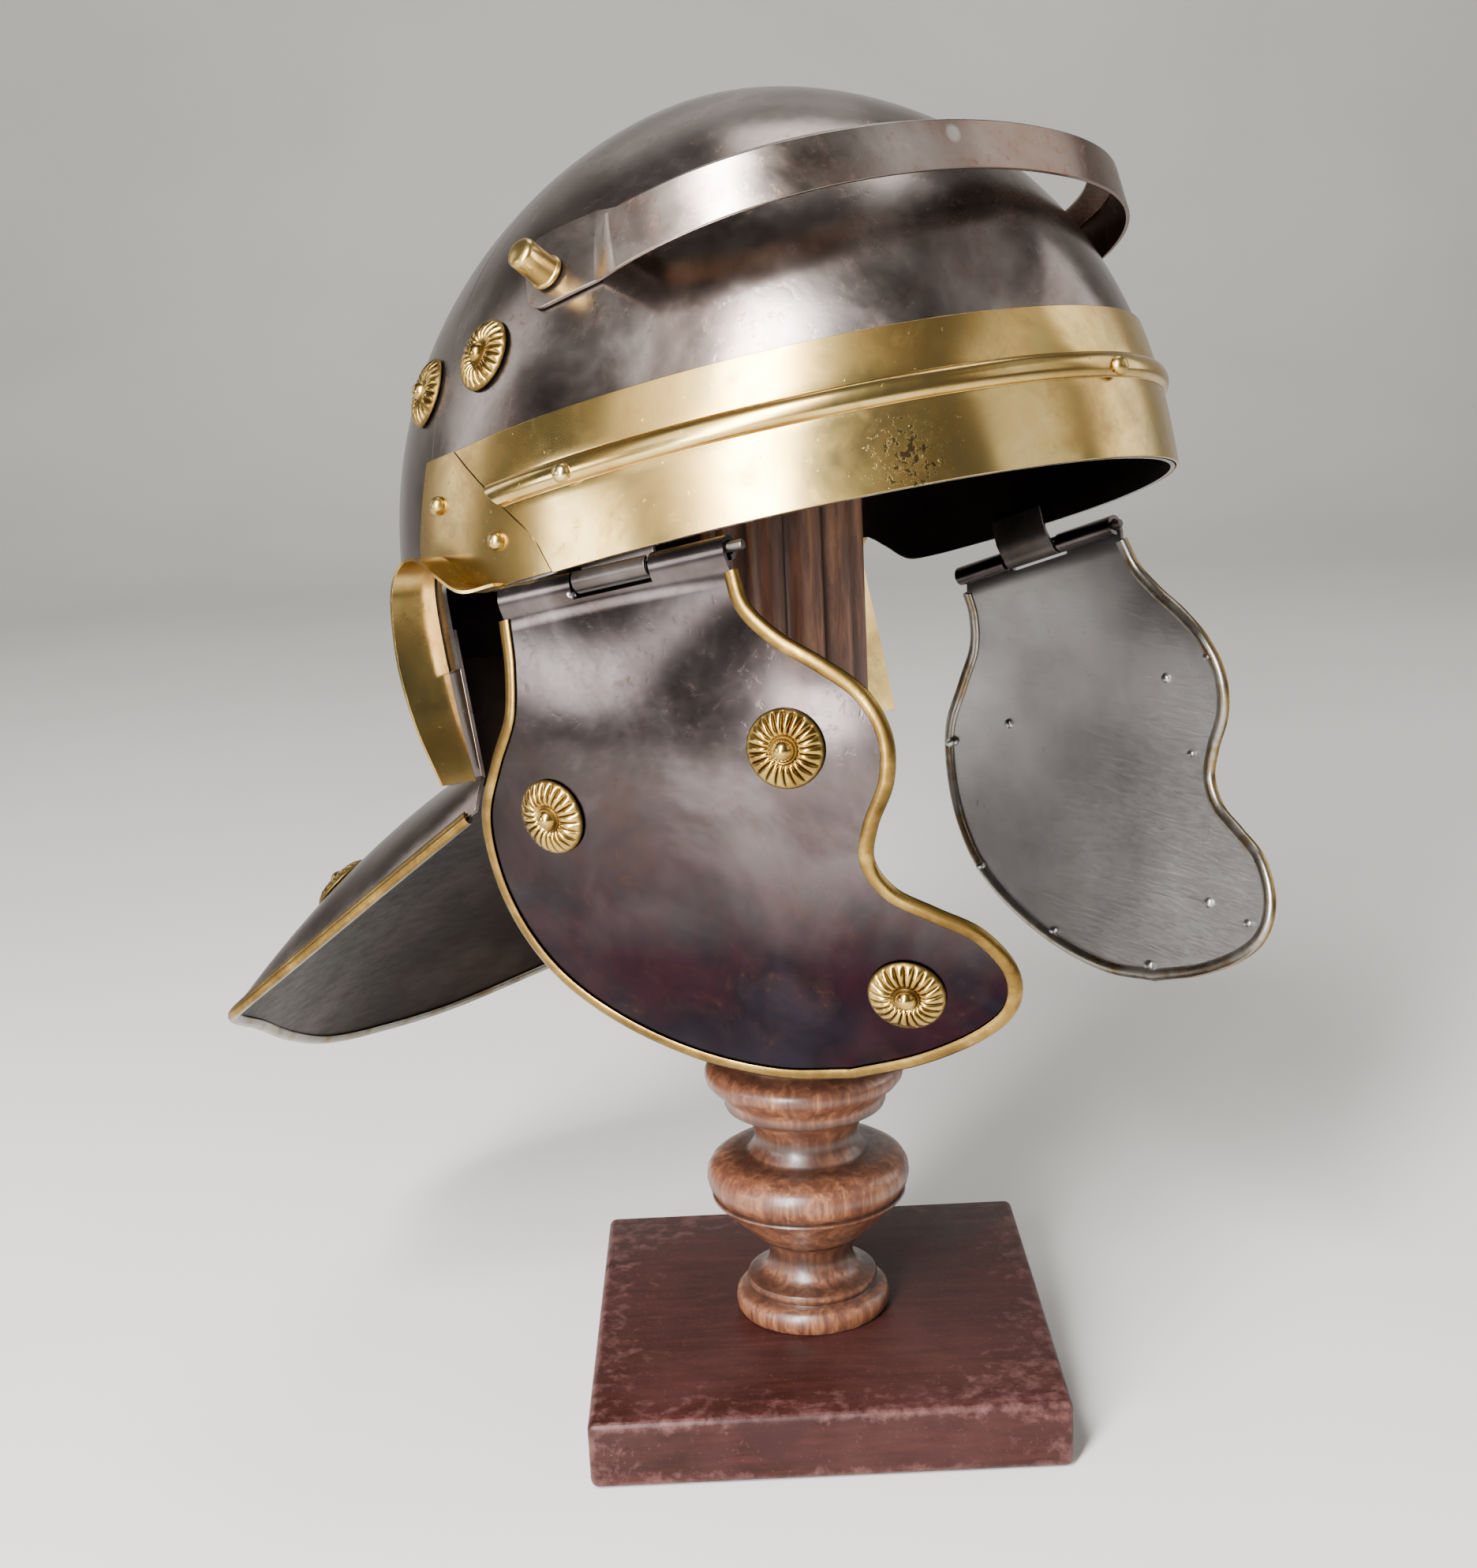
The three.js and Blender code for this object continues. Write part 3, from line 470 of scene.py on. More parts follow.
def tarnished_brass(name, light, mid, dark, rough=(0.14, 0.3), pits_at=None):
    """Rolled brass sheet, hand polished and tarnished in brown and green clouds."""
    finish, tree, where = new_finish(name)
    clouds = add(tree, "TexNoise", {
        "Vector": where, "Scale": grain(30), "Detail": 5, "Roughness": 0.62, "Distortion": 0.5,
    })
    colour = add(tree, "ValToRGB", {0: clouds, "stops": [(0.3, dark), (0.48, mid), (0.66, light)]})
    greenish = patches(tree, where, 0.5, 0.7, {
        "Scale": grain(19), "Detail": 4, "Roughness": 0.6, "Distortion": 0.4,
    })
    colour = stained(tree, colour, greenish, 0.45, "#a39a5c")
    stains = patches(tree, where, 0.55, 0.75, {
        "Scale": grain(13), "Detail": 6, "Roughness": 0.7, "Distortion": 0.6,
    })
    colour = stained(tree, colour, stains, 0.5, "#7c6238")
    spots = patches(tree, where, 0.68, 0.74, {"Scale": grain(2), "Detail": 4, "Roughness": 0.7})
    colour = stained(tree, colour, spots, 0.35, "#4a3c26")
    if pits_at:
        away = add(tree, "VectorMath", {"operation": "DISTANCE", 0: where, 1: pits_at}, "Value")
        fine = add(tree, "TexNoise", {"Vector": where, "Scale": grain(1.7), "Detail": 4, "Roughness": 0.7})
        thinning = add(tree, "Math", {"operation": "MULTIPLY_ADD", 0: away, 1: -17, 2: fine})
        pitting = add(tree, "MapRange", {VALUE: thinning, LOW: 0.44, HIGH: 0.48})
        colour = stained(tree, colour, pitting, 0.94, "#1d1a12")
        shallow = add(tree, "Math", {"operation": "MULTIPLY", 0: pitting, 1: 0.5})
        spots = add(tree, "Math", {"operation": "MAXIMUM", 0: spots, 1: shallow})
    sheen = add(tree, "MapRange", {VALUE: clouds, LOW: 0.3, HIGH: 0.7, TO_LOW: rough[1], TO_HIGH: rough[0]})
    duller = add(tree, "Math", {"operation": "MULTIPLY_ADD", 0: spots, 1: 0.3, 2: sheen})
    roughness = add(tree, "Math", {"operation": "MULTIPLY_ADD", 0: stains, 1: 0.08, 2: duller})
    waves = uneven(tree, where, 0.12, {"Scale": grain(26), "Detail": 2, "Roughness": 0.4})
    pitted = add(tree, "Bump", {"Height": spots, "Distance": -0.04 * MM, "Strength": 0.6, "Normal": waves})
    bare_metal(tree, colour, roughness, pitted)
    return finish


def edging_brass(name):
    """Folded brass strip; its inner lap is grey with old solder."""
    finish, tree, where = new_finish(name)
    inner = add(tree, "Attribute", {"attribute_name": "inner"}, "Fac")
    clouds = add(tree, "TexNoise", {
        "Vector": where, "Scale": grain(14), "Detail": 5, "Roughness": 0.62, "Distortion": 0.5,
    })
    colour = add(tree, "ValToRGB", {
        0: clouds, "stops": [(0.3, "#4e3b1c"), (0.5, "#7b6131"), (0.68, "#a68849")],
    })
    lumps = add(tree, "TexNoise", {"Vector": where, "Scale": grain(9), "Detail": 4, "Roughness": 0.6})
    tinned = add(tree, "MapRange", {VALUE: lumps, LOW: 0.38, HIGH: 0.52, TO_LOW: 0.35})
    colour = stained(tree, colour, inner, tinned, "#98948c")
    roughness = add(tree, "MapRange", {VALUE: clouds, LOW: 0.3, HIGH: 0.7, TO_LOW: 0.4, TO_HIGH: 0.24})
    worn = uneven(tree, where, 0.12, {"Scale": grain(5), "Detail": 3, "Roughness": 0.5})
    bare_metal(tree, colour, roughness, worn)
    return finish


def soft_solder(name):
    """Lead-grey solder and filed rivet tails."""
    finish, tree, where = new_finish(name)
    clouds = add(tree, "TexNoise", {"Vector": where, "Scale": grain(3), "Detail": 3, "Roughness": 0.6})
    colour = add(tree, "ValToRGB", {0: clouds, "stops": [(0.35, "#8d8b8a"), (0.65, "#c4c2c0")]})
    lumps = uneven(tree, where, 0.15, {"Scale": grain(2), "Detail": 3, "Roughness": 0.6})
    bare_metal(tree, colour, 0.3, lumps)
    return finish


def pressed_brass(name, light, dark):
    """Stamped brass: bright on the ribs, dark in the flutes and round the boss, with painted shade along the
    rim.
    """
    finish, tree, where = new_finish(name)
    hollow = add(tree, "Attribute", {"attribute_name": "hollow"}, "Fac")
    clouds = add(tree, "TexNoise", {"Vector": where, "Scale": grain(7), "Detail": 4, "Roughness": 0.6})
    colour = add(tree, "ValToRGB", {0: clouds, "stops": [(0.35, dark), (0.6, light)]})
    patchy = add(tree, "MapRange", {VALUE: clouds, LOW: 0.3, HIGH: 0.7, TO_LOW: -0.15, TO_HIGH: 0.15})
    darkened_where = add(tree, "Math", {"operation": "ADD", 0: hollow, 1: patchy})
    dark_and_painted_shade = add(tree, "MapRange", {VALUE: darkened_where, LOW: 0.3, HIGH: 0.85})
    # Darker in the hollows; along the rim this is painted shade.
    colour = stained(tree, colour, dark_and_painted_shade, 0.85, "#2b1f10")
    roughness = add(tree, "MapRange", {VALUE: dark_and_painted_shade, LOW: 0, HIGH: 1, TO_LOW: 0.2, TO_HIGH: 0.5})
    grit = add(tree, "TexNoise", {"Vector": where, "Scale": grain(1.2), "Detail": 3, "Roughness": 0.6})
    fine = add(tree, "Bump", {"Height": grit, "Distance": 0.03 * MM, "Strength": 0.6})
    bare_metal(tree, colour, roughness, fine)
    return finish


def brushed_inside(name, dark, mid, light, brush=(1, 1, 14), grain_mm=7, painted_shade_heights=None):
    """The unpolished side of the sheet: an even grey with long sanding scratches and a few dark marks.

    The scratches are drawn coarser than real ones, so that they show. The last argument is the pair of
    heights between which a painted shade, standing for the bowl's shadow, darkens the sheet towards the
    hinge.
    """
    finish, tree, where = new_finish(name)
    clouds = add(tree, "TexNoise", {"Vector": where, "Scale": grain(40), "Detail": 4, "Roughness": 0.55})
    colour = add(tree, "ValToRGB", {0: clouds, "stops": [(0.3, dark), (0.5, mid), (0.7, light)]})
    slanted = add(tree, "Mapping", {"Vector": where, "Rotation": (0.5, 0.35, 0), "Scale": brush})
    scratches = add(tree, "TexNoise", {
        "Vector": slanted, "Scale": grain(grain_mm), "Detail": 6, "Roughness": 0.75,
    })
    scratched = add(tree, "MapRange", {VALUE: scratches, LOW: 0.56, HIGH: 0.72})
    colour = stained(tree, colour, scratched, 0.4, dark)
    marks = patches(tree, where, 0.66, 0.74, {
        "Scale": grain(6), "Detail": 5, "Roughness": 0.7, "Distortion": 1.5,
    })
    colour = stained(tree, colour, marks, 0.6, "#2a2220")
    # Painted shade: the sheet darkens towards the hinge, where the bowl's shadow falls.
    if painted_shade_heights:
        height = add(tree, "SeparateXYZ", {0: where}, "Z")
        painted_hinge_shade = add(tree, "MapRange", {VALUE: height, LOW: painted_shade_heights[0], HIGH: painted_shade_heights[1]})
        colour = stained(tree, colour, painted_hinge_shade, 0.75, "#4b4847")
    roughness = add(tree, "MapRange", {VALUE: scratches, LOW: 0.3, HIGH: 0.7, TO_LOW: 0.36, TO_HIGH: 0.52})
    waves = uneven(tree, where, 0.25, {"Scale": grain(30), "Detail": 2, "Roughness": 0.4})
    lines = add(tree, "Bump", {"Height": scratches, "Distance": 0.03 * MM, "Strength": 0.6, "Normal": waves})
    bare_metal(tree, colour, roughness, lines)
    return finish


def turned_timber(name):
    """Stained hardwood turned on a lathe: long grain, darker in the hollows, satin varnish.

    The pores are drawn coarser than real ones, so that they show.
    """
    finish, tree, where = new_finish(name)
    hollow = add(tree, "Attribute", {"attribute_name": "hollow"}, "Fac")
    upright = add(tree, "Mapping", {"Vector": where, "Scale": (1, 1, 0.09)})
    rings = add(tree, "TexNoise", {
        "Vector": upright, "Scale": grain(3.2), "Detail": 7, "Roughness": 0.7, "Distortion": 0.6,
    })
    colour = add(tree, "ValToRGB", {
        0: rings, "stops": [(0.3, "#371e15"), (0.47, "#5f3a28"), (0.6, "#86583c"), (0.72, "#a27552")],
    })
    blotch = patches(tree, where, 0.4, 0.65, {"Scale": grain(24), "Detail": 3, "Roughness": 0.5})
    colour = stained(tree, colour, blotch, 0.45, "#593427")
    pores = patches(tree, upright, 0.62, 0.7, {"Scale": grain(0.9), "Detail": 4, "Roughness": 0.7})
    colour = stained(tree, colour, pores, 0.55, "#1d0d09")
    colour = stained(tree, colour, hollow, 0.8, "#1c0e0b")
    roughness = add(tree, "MapRange", {VALUE: rings, LOW: 0.3, HIGH: 0.7, TO_LOW: 0.42, TO_HIGH: 0.3})
    raised = add(tree, "Bump", {"Height": rings, "Distance": 0.08 * MM, "Strength": 0.5})
    fibres = add(tree, "Bump", {"Height": pores, "Distance": -0.06 * MM, "Strength": 0.6, "Normal": raised})
    look = add(tree, "BsdfPrincipled", {
        "Coat Weight": 0.15, "Coat Roughness": 0.22,
        "Base Color": colour, "Roughness": roughness, "Normal": fibres,
    })
    add(tree, "OutputMaterial", {"Surface": look})
    return finish


def wedge_stain(tree, where):
    """A dark stain on the board's front, as wide as 29 mm at the top and pointed below."""
    x, y, z = add(tree, "SeparateXYZ", {0: where}).node.outputs
    off_centre = add(tree, "Math", {"operation": "ADD", 0: x, 1: 0.0165})
    aside = add(tree, "Math", {"operation": "ABSOLUTE", 0: off_centre})
    wide = add(tree, "MapRange", {VALUE: z, LOW: 0.004, HIGH: 0.02, TO_HIGH: 0.0145})
    edge = add(tree, "Math", {"operation": "SUBTRACT", 0: wide, 1: aside})
    cloud = add(tree, "TexNoise", {"Vector": where, "Scale": grain(5), "Detail": 4, "Roughness": 0.6})
    shaky = add(tree, "MapRange", {VALUE: cloud, LOW: 0.3, HIGH: 0.7, TO_LOW: -0.0015, TO_HIGH: 0.0015})
    ragged = add(tree, "Math", {"operation": "ADD", 0: edge, 1: shaky})
    soaked = add(tree, "MapRange", {VALUE: ragged, LOW: 0, HIGH: 0.002})
    on_front = add(tree, "MapRange", {VALUE: y, LOW: -0.0685, HIGH: -0.0695})
    return add(tree, "Math", {"operation": "MULTIPLY", 0: soaked, 1: on_front})


def stained_board(name):
    """The base board: a dark red-brown stain with fine scuffs, paler along its edges, partly wear and partly
    a painted highlight on the rounded edges.
    """
    finish, tree, where = new_finish(name)
    worn = add(tree, "Attribute", {"attribute_name": "worn"}, "Fac")
    lengthwise = add(tree, "Mapping", {"Vector": where, "Scale": (0.12, 1, 1)})
    fibre = add(tree, "TexNoise", {
        "Vector": lengthwise, "Scale": grain(3.4), "Detail": 6, "Roughness": 0.7, "Distortion": 0.3,
    })
    colour = add(tree, "ValToRGB", {
        0: fibre, "stops": [(0.3, "#1e0c0a"), (0.52, "#2b1310"), (0.7, "#391b17")],
    })
    cloud = add(tree, "TexNoise", {"Vector": where, "Scale": grain(32), "Detail": 4, "Roughness": 0.6})
    faded = add(tree, "MapRange", {VALUE: cloud, LOW: 0.38, HIGH: 0.68})
    colour = stained(tree, colour, faded, 0.5, "#432624")
    specks = patches(tree, where, 0.6, 0.68, {"Scale": grain(1.6), "Detail": 5, "Roughness": 0.75})
    colour = stained(tree, colour, specks, 0.25, "#6b4743")
    handled = add(tree, "TexNoise", {"Vector": where, "Scale": grain(5), "Detail": 5, "Roughness": 0.7})
    patchy = add(tree, "MapRange", {VALUE: handled, LOW: 0.3, HIGH: 0.7, TO_LOW: -0.4, TO_HIGH: 0.4})
    touched = add(tree, "Math", {"operation": "ADD", 0: worn, 1: patchy})
    # Paler edges: partly wear, partly a painted highlight on the rounded edges.
    pale_edges_and_highlight = add(tree, "MapRange", {VALUE: touched, LOW: 0.45, HIGH: 1})
    colour = stained(tree, colour, pale_edges_and_highlight, 0.45, "#7a5450")
    colour = stained(tree, colour, wedge_stain(tree, where), 0.75, "#2a1414")
    roughness = add(tree, "MapRange", {VALUE: cloud, LOW: 0.35, HIGH: 0.65, TO_LOW: 0.36, TO_HIGH: 0.52})
    raised = add(tree, "Bump", {"Height": fibre, "Distance": 0.06 * MM, "Strength": 0.5})
    scuffs = add(tree, "Bump", {"Height": specks, "Distance": 0.04 * MM, "Strength": 0.6, "Normal": raised})
    look = add(tree, "BsdfPrincipled", {
        "Specular IOR Level": 0.18, "Base Color": colour, "Roughness": roughness, "Normal": scuffs,
    })
    add(tree, "OutputMaterial", {"Surface": look})
    return finish


bowl_steel = browned_steel(
    "browned_polished_steel", "#584d47", "#7b6f69", "#9c928c", "#6b4530", rusting=0.48,
)
# Its purple tint low on the guard is partly real and partly a painted dark reflection.
guard_steel = browned_steel(
    "tinted_steel_with_painted_reflection", "#36302f", "#4a4342", "#6a6362", "#4f3428",
    rough=(0.15, 0.26), dents=0.12, tint=tint_and_painted_reflection, rusting=0.5,
)
brow_steel = browned_steel(
    "browned_strip_steel", "#6f6058", "#978b83", "#b9b0a9", "#7a4a33",
    rough=(0.18, 0.32), dents=0.12, tint=brown_and_shaded_end, rusting=0.4,
)
hinge_steel = browned_steel(
    "dark_hinge_steel", "#3c3634", "#544d4a", "#6f6865", "#5a3b2c", rough=(0.3, 0.42), dents=0.1,
)
bowl_inside = brushed_inside("blackened_steel_inside", "#15100f", "#1f1817", "#2c2321")
# Its darkening towards the hinge is painted shade for the bowl's shadow.
guard_inside = brushed_inside("sanded_steel_inside", "#a5a2a2", "#bebbbb", "#d2d0cf", painted_shade_heights=(0.2, 0.25))
# Painted dark reflection: the underside's greys are darkened to stand for the dark surroundings it reflects.
neck_underside_painted_dark = brushed_inside("steel_underside_painted_dark", "#1a1311", "#281f1b", "#3d322c", (1, 1, 4), 9)
band_brass = tarnished_brass(
    "tarnished_brass_sheet", "#d8bc7a", "#c09f5c", "#997844",
    pits_at=TO_METRES @ HELMET @ bowl_at(math.radians(PITTED[0]), PITTED[1]),
)
rim_brass = edging_brass("brass_edging")
solder = soft_solder("grey_solder")
rosette_brass = pressed_brass("pressed_brass", "#c5a55a", "#8b6b33")
pin_brass = tarnished_brass("brass_rod", "#d6bf84", "#b99d5c", "#94783f", rough=(0.2, 0.34))
column_timber = turned_timber("turned_stained_hardwood")
base_board = stained_board("stained_base_board")


# Bowl, brow band and ear guards

def bowl_foot(angle):
    """Height of the bowl's lower edge at an angle from the face."""
    x = BOWL["length"] * math.cos(angle)
    if x > EAR_ARCH[0][0]:
        return 0
    rows = sorted(EAR_ARCH)
    return straight(rows, x) if x > rows[0][0] else rows[0][1]


def bowl_columns(count):
    """Angles round the bowl, closer together over the ears."""
    spots = [2 * math.pi * i / count for i in range(count + 1)]
    ends = [math.acos(x / BOWL["length"]) for x in (-44.4, -44.55, -44.7, -44.8, -44.95)]
    return sorted({*spots, *ends, *[math.tau - a for a in ends]})


BOWL_ANGLES = bowl_columns(168)


def bowl_surface(s, t):
    angle = BOWL_ANGLES[round(s * (len(BOWL_ANGLES) - 1))]
    crown = BOWL["height"] - SHEET / 2
    z = mix(bowl_foot(angle), crown, math.sin(t * math.pi / 2)) if t < 1 else crown
    return bowl_at(angle, z, -SHEET / 2)


CENTRE = HELMET @ Vector((0, 0, 10))  # a point inside the bowl
bowl = finished(
    "raised_bowl", surface(len(BOWL_ANGLES) - 1, 44, bowl_surface, HELMET, CENTRE),
    [bowl_steel, bowl_inside], STANDING, ["bowl"], sharp=50,
)
thicken(bowl, SHEET, inner_finish=True)


def bead_rise(z):
    """How far the brow band's bead stands out at a height."""
    away = abs(z - BAND["bead_height"]) / BAND["bead_half"]
    return BAND["bead_rise"] * math.sqrt(max(1 - away * away, 0)) if away < 1 else 0


BAND_HEIGHTS = [  # closer together over the bead
    0, 3, 8, 14, 18, 20, *[20.9 + 6.2 * i / 14 for i in range(15)], 28, 30, 34, 38, BAND["height"],
]


def band_surface(s, t):
    z = BAND_HEIGHTS[round(t * (len(BAND_HEIGHTS) - 1))]
    offset = SEATED + BRASS / 2 + bead_rise(z)
    end = bowl_angle(straight(SEAM, z) - SEAM_GAP, z, offset)
    return bowl_at(mix(-end, end, s), z, offset)


band = finished(
    "brow_band_sheet", surface(120, len(BAND_HEIGHTS) - 1, band_surface, HELMET, CENTRE), [band_brass],
    STANDING, ["brow_band"], sharp=60,
)
thicken(band, BRASS)


CURL_REACH = 1.2
CURL_RISE = 0.25


def ear_guard_surface(side):
    """The plate down to its fold, and the flange out from there with a small curl."""
    def place(s, t):
        knots = len(EAR_GUARD) - 1
        fold_x, fold_z, _, _, flange = smooth(EAR_GUARD, s)
        k = min(int(s * knots), knots - 1)
        low, high = EAR_GUARD[k], EAR_GUARD[k + 1]
        plate_x = mix(low[2], high[2], s * knots - k)
        plate_z = mix(low[3], high[3], s * knots - k)
        offset = SEATED + BRASS / 2
        if t <= 0.5:
            share = 1 - t / 0.5
            return bowl_beside(mix(fold_x, plate_x, share), mix(fold_z, plate_z, share), side, offset)
        out = (t - 0.5) / 0.5 * flange
        curl = CURL_REACH * (1 - math.exp(-out / CURL_REACH))
        return bowl_beside(fold_x, fold_z, side, offset) + Vector((0, side * out, CURL_RISE * curl))
    return place


for side, word in SIDES.items():
    ear_guard = finished(
        f"ear_guard_sheet_{word}", surface(90, 18, ear_guard_surface(side), HELMET, CENTRE),
        [band_brass], STANDING, [f"ear_guard_{word}"], sharp=50,
    )
    thicken(ear_guard, BRASS)


# Neck guard

NECK_ROWS = [*NECK_EDGE, *[(360 - a, x, -y, z) for a, x, y, z in reversed(NECK_EDGE[:-1])]]


def neck_edge(angle):
    """The neck guard's edge point for an angle from the face."""
    angles = [row[0] for row in NECK_ROWS]
    k = max(i for i, a in enumerate(angles[:-1]) if a <= max(angle, angles[0]))
    share = (k + (angle - angles[k]) / (angles[k + 1] - angles[k])) / (len(angles) - 1)
    return smooth([row[1:] for row in NECK_ROWS], share)


def neck_point(angle, share):
    top = bowl_at(math.radians(angle), NAPE_FOOT, NAPE_INSET)
    edge = neck_edge(angle)
    point = top.lerp(edge, share)
    point.z += 4 * share * (1 - share) * NECK_CROWN * (top - edge).length
    return point


def neck_surface(s, t):
    angle = mix(NECK_ROWS[0][0], NECK_ROWS[-1][0], s)
    wall = 0.3
    if t < wall:
        return bowl_at(math.radians(angle), mix(NAPE_TOP, NAPE_FOOT, t / wall), NAPE_INSET)
    return neck_point(angle, (t - wall) / (1 - wall))


neck_guard = finished(
    "neck_guard_sheet", surface(132, 40, neck_surface, HELMET, HELMET @ Vector((-100, 0, -220))),
    [bowl_steel, neck_underside_painted_dark], STANDING, ["neck_guard"], sharp=50,
)
thicken(neck_guard, SHEET, inner_finish=True)


def neck_normal(angle, share):
    return surface_normal(neck_point, angle, share, 0.03, Vector((-100, 0, -300)))


RIM_STEPS = 150
RIM_ENDS = (113.2, 246.8)  # angles from the face
neck_angles = [mix(*RIM_ENDS, i / RIM_STEPS) for i in range(RIM_STEPS + 1)]
neck_frames = edge_frames(
    [neck_point(a, 1) for a in neck_angles], [neck_normal(a, 0.96) for a in neck_angles],
    Vector((-100, 0, -70)),
)
finished(
    "neck_guard_rim", bead_along(EDGING_SECTION, neck_frames, HELMET), [rim_brass],
    STANDING, ["neck_guard_edging"], sharp=45,
)


# Brow guard and its pins

TAB_SHARE = 0.09  # of the strip's columns, at each end
FACE_SHARE = 0.6  # of its rows; the others are the flange
CORNER_LENGTH = 0.3  # share of a tab's length over which its corners round off
CORNER_HEIGHT = 0.18  # share of its height that they take away


def brow_surface(s, t):
    """A tab on the bowl at each end; between them the strip's upright face and the flange over it."""
    tab = TAB_SHARE
    if s < tab or s > 1 - tab:
        side = -1 if s < tab else 1
        share = s / tab if side < 0 else (1 - s) / tab
        low_x, low_z, top_x, top_z = smooth(BROW_TAB, share * 0.999)
        corner = CORNER_HEIGHT * (1 - math.sqrt(max(1 - (1 - min(share / CORNER_LENGTH, 1)) ** 2, 0)))
        up = mix(corner, 1 - corner, t)
        return bowl_beside(mix(low_x, top_x, up), mix(low_z, top_z, up), side, 0.5 + SHEET / 2)
    turn = mix(-math.pi / 2, math.pi / 2, (s - tab) / (1 - 2 * tab))
    turn = max(min(turn, math.pi / 2 - 1e-4), -math.pi / 2 + 1e-4)
    c, sign, power = math.cos(turn), math.copysign(1, turn), 2 / BROW["square"]
    forward = abs(c) ** power
    face_share = min(t / FACE_SHARE, 1)
    flange_share = max(t - FACE_SHARE, 0) / (1 - FACE_SHARE)
    lean = face_share + flange_share * (BROW["flange_in"] - 1)
    face = mix(BROW["side_face"], BROW["front_face"], forward)
    return Vector((
        BROW["x"] + (BROW["reach"] - lean) * forward,
        (BROW["y"] - lean) * sign * abs(math.sin(turn)) ** power,
        mix(BROW["side_z"], BROW["front_z"], forward) + face * face_share + BROW["flange_up"] * flange_share,
    ))


brow_guard = finished(
    "brow_guard_strip", surface(200, 10, brow_surface, HELMET, CENTRE),
    [brow_steel], STANDING, ["brow_guard"], sharp=50,
)
thicken(brow_guard, SHEET)

PIN_PROFILE = [  # radius, height over the bowl
    (0, -2.8), (2.4, -2.8), (2.4, 2.5), (4.9, 2.6), (5, 3.2), (4.8, 3.6), (4.35, 3.8), (4.3, 4.5),
    (4.3, 8), (4.3, 12.2), (4.1, 12.9), (3.5, 13.5), (2.4, 13.85), (0, 14),
]
for side, word in SIDES.items():
    x, z = BROW_PIN
    seat = stand_up(bowl_beside(x, z, side), bowl_normal(x, z, side))
    finished(
        f"brow_pin_{word}", turned(PIN_PROFILE, 40, HELMET @ seat), [pin_brass],
        STANDING, [f"brow_guard_pin_{word}"], sharp=50,
    )


# Rosettes and rivets

ROSETTE_PROFILE = [  # radius, height
    (0, 4.7), (1, 4.5), (1.9, 3.9), (2.6, 2.9), (2.9, 1.9), (3.3, 1.7), (4, 2.4), (5.2, 2.8), (6.6, 2.65),
    (8, 2.1), (9.2, 1.25), (9.8, 0.6), (10, 0),
]
ROSETTE_SHEET = 0.4
RIBS = 22
GROOVE_ENDS = {"inner": 3.7, "deepens": 0.9, "outer": 9.9, "fades": 1.4}


def groove(s, r):
    """1 in the bottom of a narrow groove between two ribs, fading out at the collar and at the rim."""
    narrow = 1 - abs(math.sin(RIBS / 2 * math.tau * s)) ** 0.5
    from_collar = min(max((r - GROOVE_ENDS["inner"]) / GROOVE_ENDS["deepens"], 0), 1)
    from_rim = min(max((GROOVE_ENDS["outer"] - r) / GROOVE_ENDS["fades"], 0), 1)
    return narrow * from_collar * from_rim


def rosette_surface(s, t):
    r, h = smooth(ROSETTE_PROFILE, t)
    sunk = max(h - groove(s, r), 0)
    return Vector((r * math.cos(math.tau * s), r * math.sin(math.tau * s), sunk))


def rosette_hollow(s, t):
    """Where it darkens: round the boss, in the grooves and, as painted shade, along the rim where it curves
    away.
    """
    r = smooth(ROSETTE_PROFILE, t)[0]
    if 2.7 < r < 3.5:
        return 0.95
    # Along the rim the darkening is painted shade, where the rosette curves away.
    return max(1.25 * groove(s, r), min((r - 8.6) / 1.4, 0.8))


def add_rosette(name, node, seat, body):
    bm = surface(
        RIBS * 8, 22, rosette_surface, HELMET @ seat, HELMET @ seat @ Vector((0, 0, -5)),
        mark=("hollow", rosette_hollow),
    )
    piece = finished(name, bm, [rosette_brass], body, [node], sharp=70)
    wall = piece.modifiers.new("wall", "SOLIDIFY")
    wall.thickness = ROSETTE_SHEET * MM
    wall.offset = -1


RIVET_PROFILE = [  # radius, height
    (0, -0.4), (2.6, -0.4), (2.65, 0), (2.5, 0.7), (2.1, 1.4), (1.4, 1.95), (0.6, 2.2), (0, 2.25),
]


def add_rivet(name, node, point, normal, lift):
    finished(
        name, turned(RIVET_PROFILE, 24, HELMET @ stand_up(point + normal * lift, normal)),
        [pin_brass], STANDING, [node], sharp=60,
    )


over_bead = BRASS + SEATED + BAND["bead_rise"]
for side, word in SIDES.items():
    for i, (x, z) in enumerate(BOWL_ROSETTES, 1):
        normal = bowl_normal(x, z, side)
        seat = stand_up(bowl_beside(x, z, side) + normal * SEATED, normal)
        add_rosette(f"bowl_rose_{word}_{i}", f"bowl_rosette_{word}_{i}", seat, STANDING)
    for i, (x, z) in enumerate(EAR_RIVETS, 1):
        add_rivet(
            f"ear_plate_rivet_{word}_{i}", f"ear_rivet_{word}_{i}",
            bowl_beside(x, z, side), bowl_normal(x, z, side), BRASS * 2,
        )
    add_rivet(
        f"brow_band_rivet_{word}", f"band_rivet_{word}",
        bowl_beside(*SIDE_RIVET, side), bowl_normal(*SIDE_RIVET, side), over_bead,
    )
front_angle, front_z = math.radians(FRONT_RIVET[0]), FRONT_RIVET[1]
add_rivet(
    "brow_band_rivet_front", "band_rivet_front",
    bowl_at(front_angle, front_z), surface_normal(bowl_at, front_angle, front_z, 0.02), over_bead,
)

for angle, share, word in NECK_ROSETTES:
    normal = neck_normal(angle, share)
    seat = stand_up(neck_point(angle, share) + normal * (SHEET / 2 + SEATED), normal)
    add_rosette(f"neck_rose_{word}", f"neck_rosette_{word}", seat, STANDING)


# Cheek guards

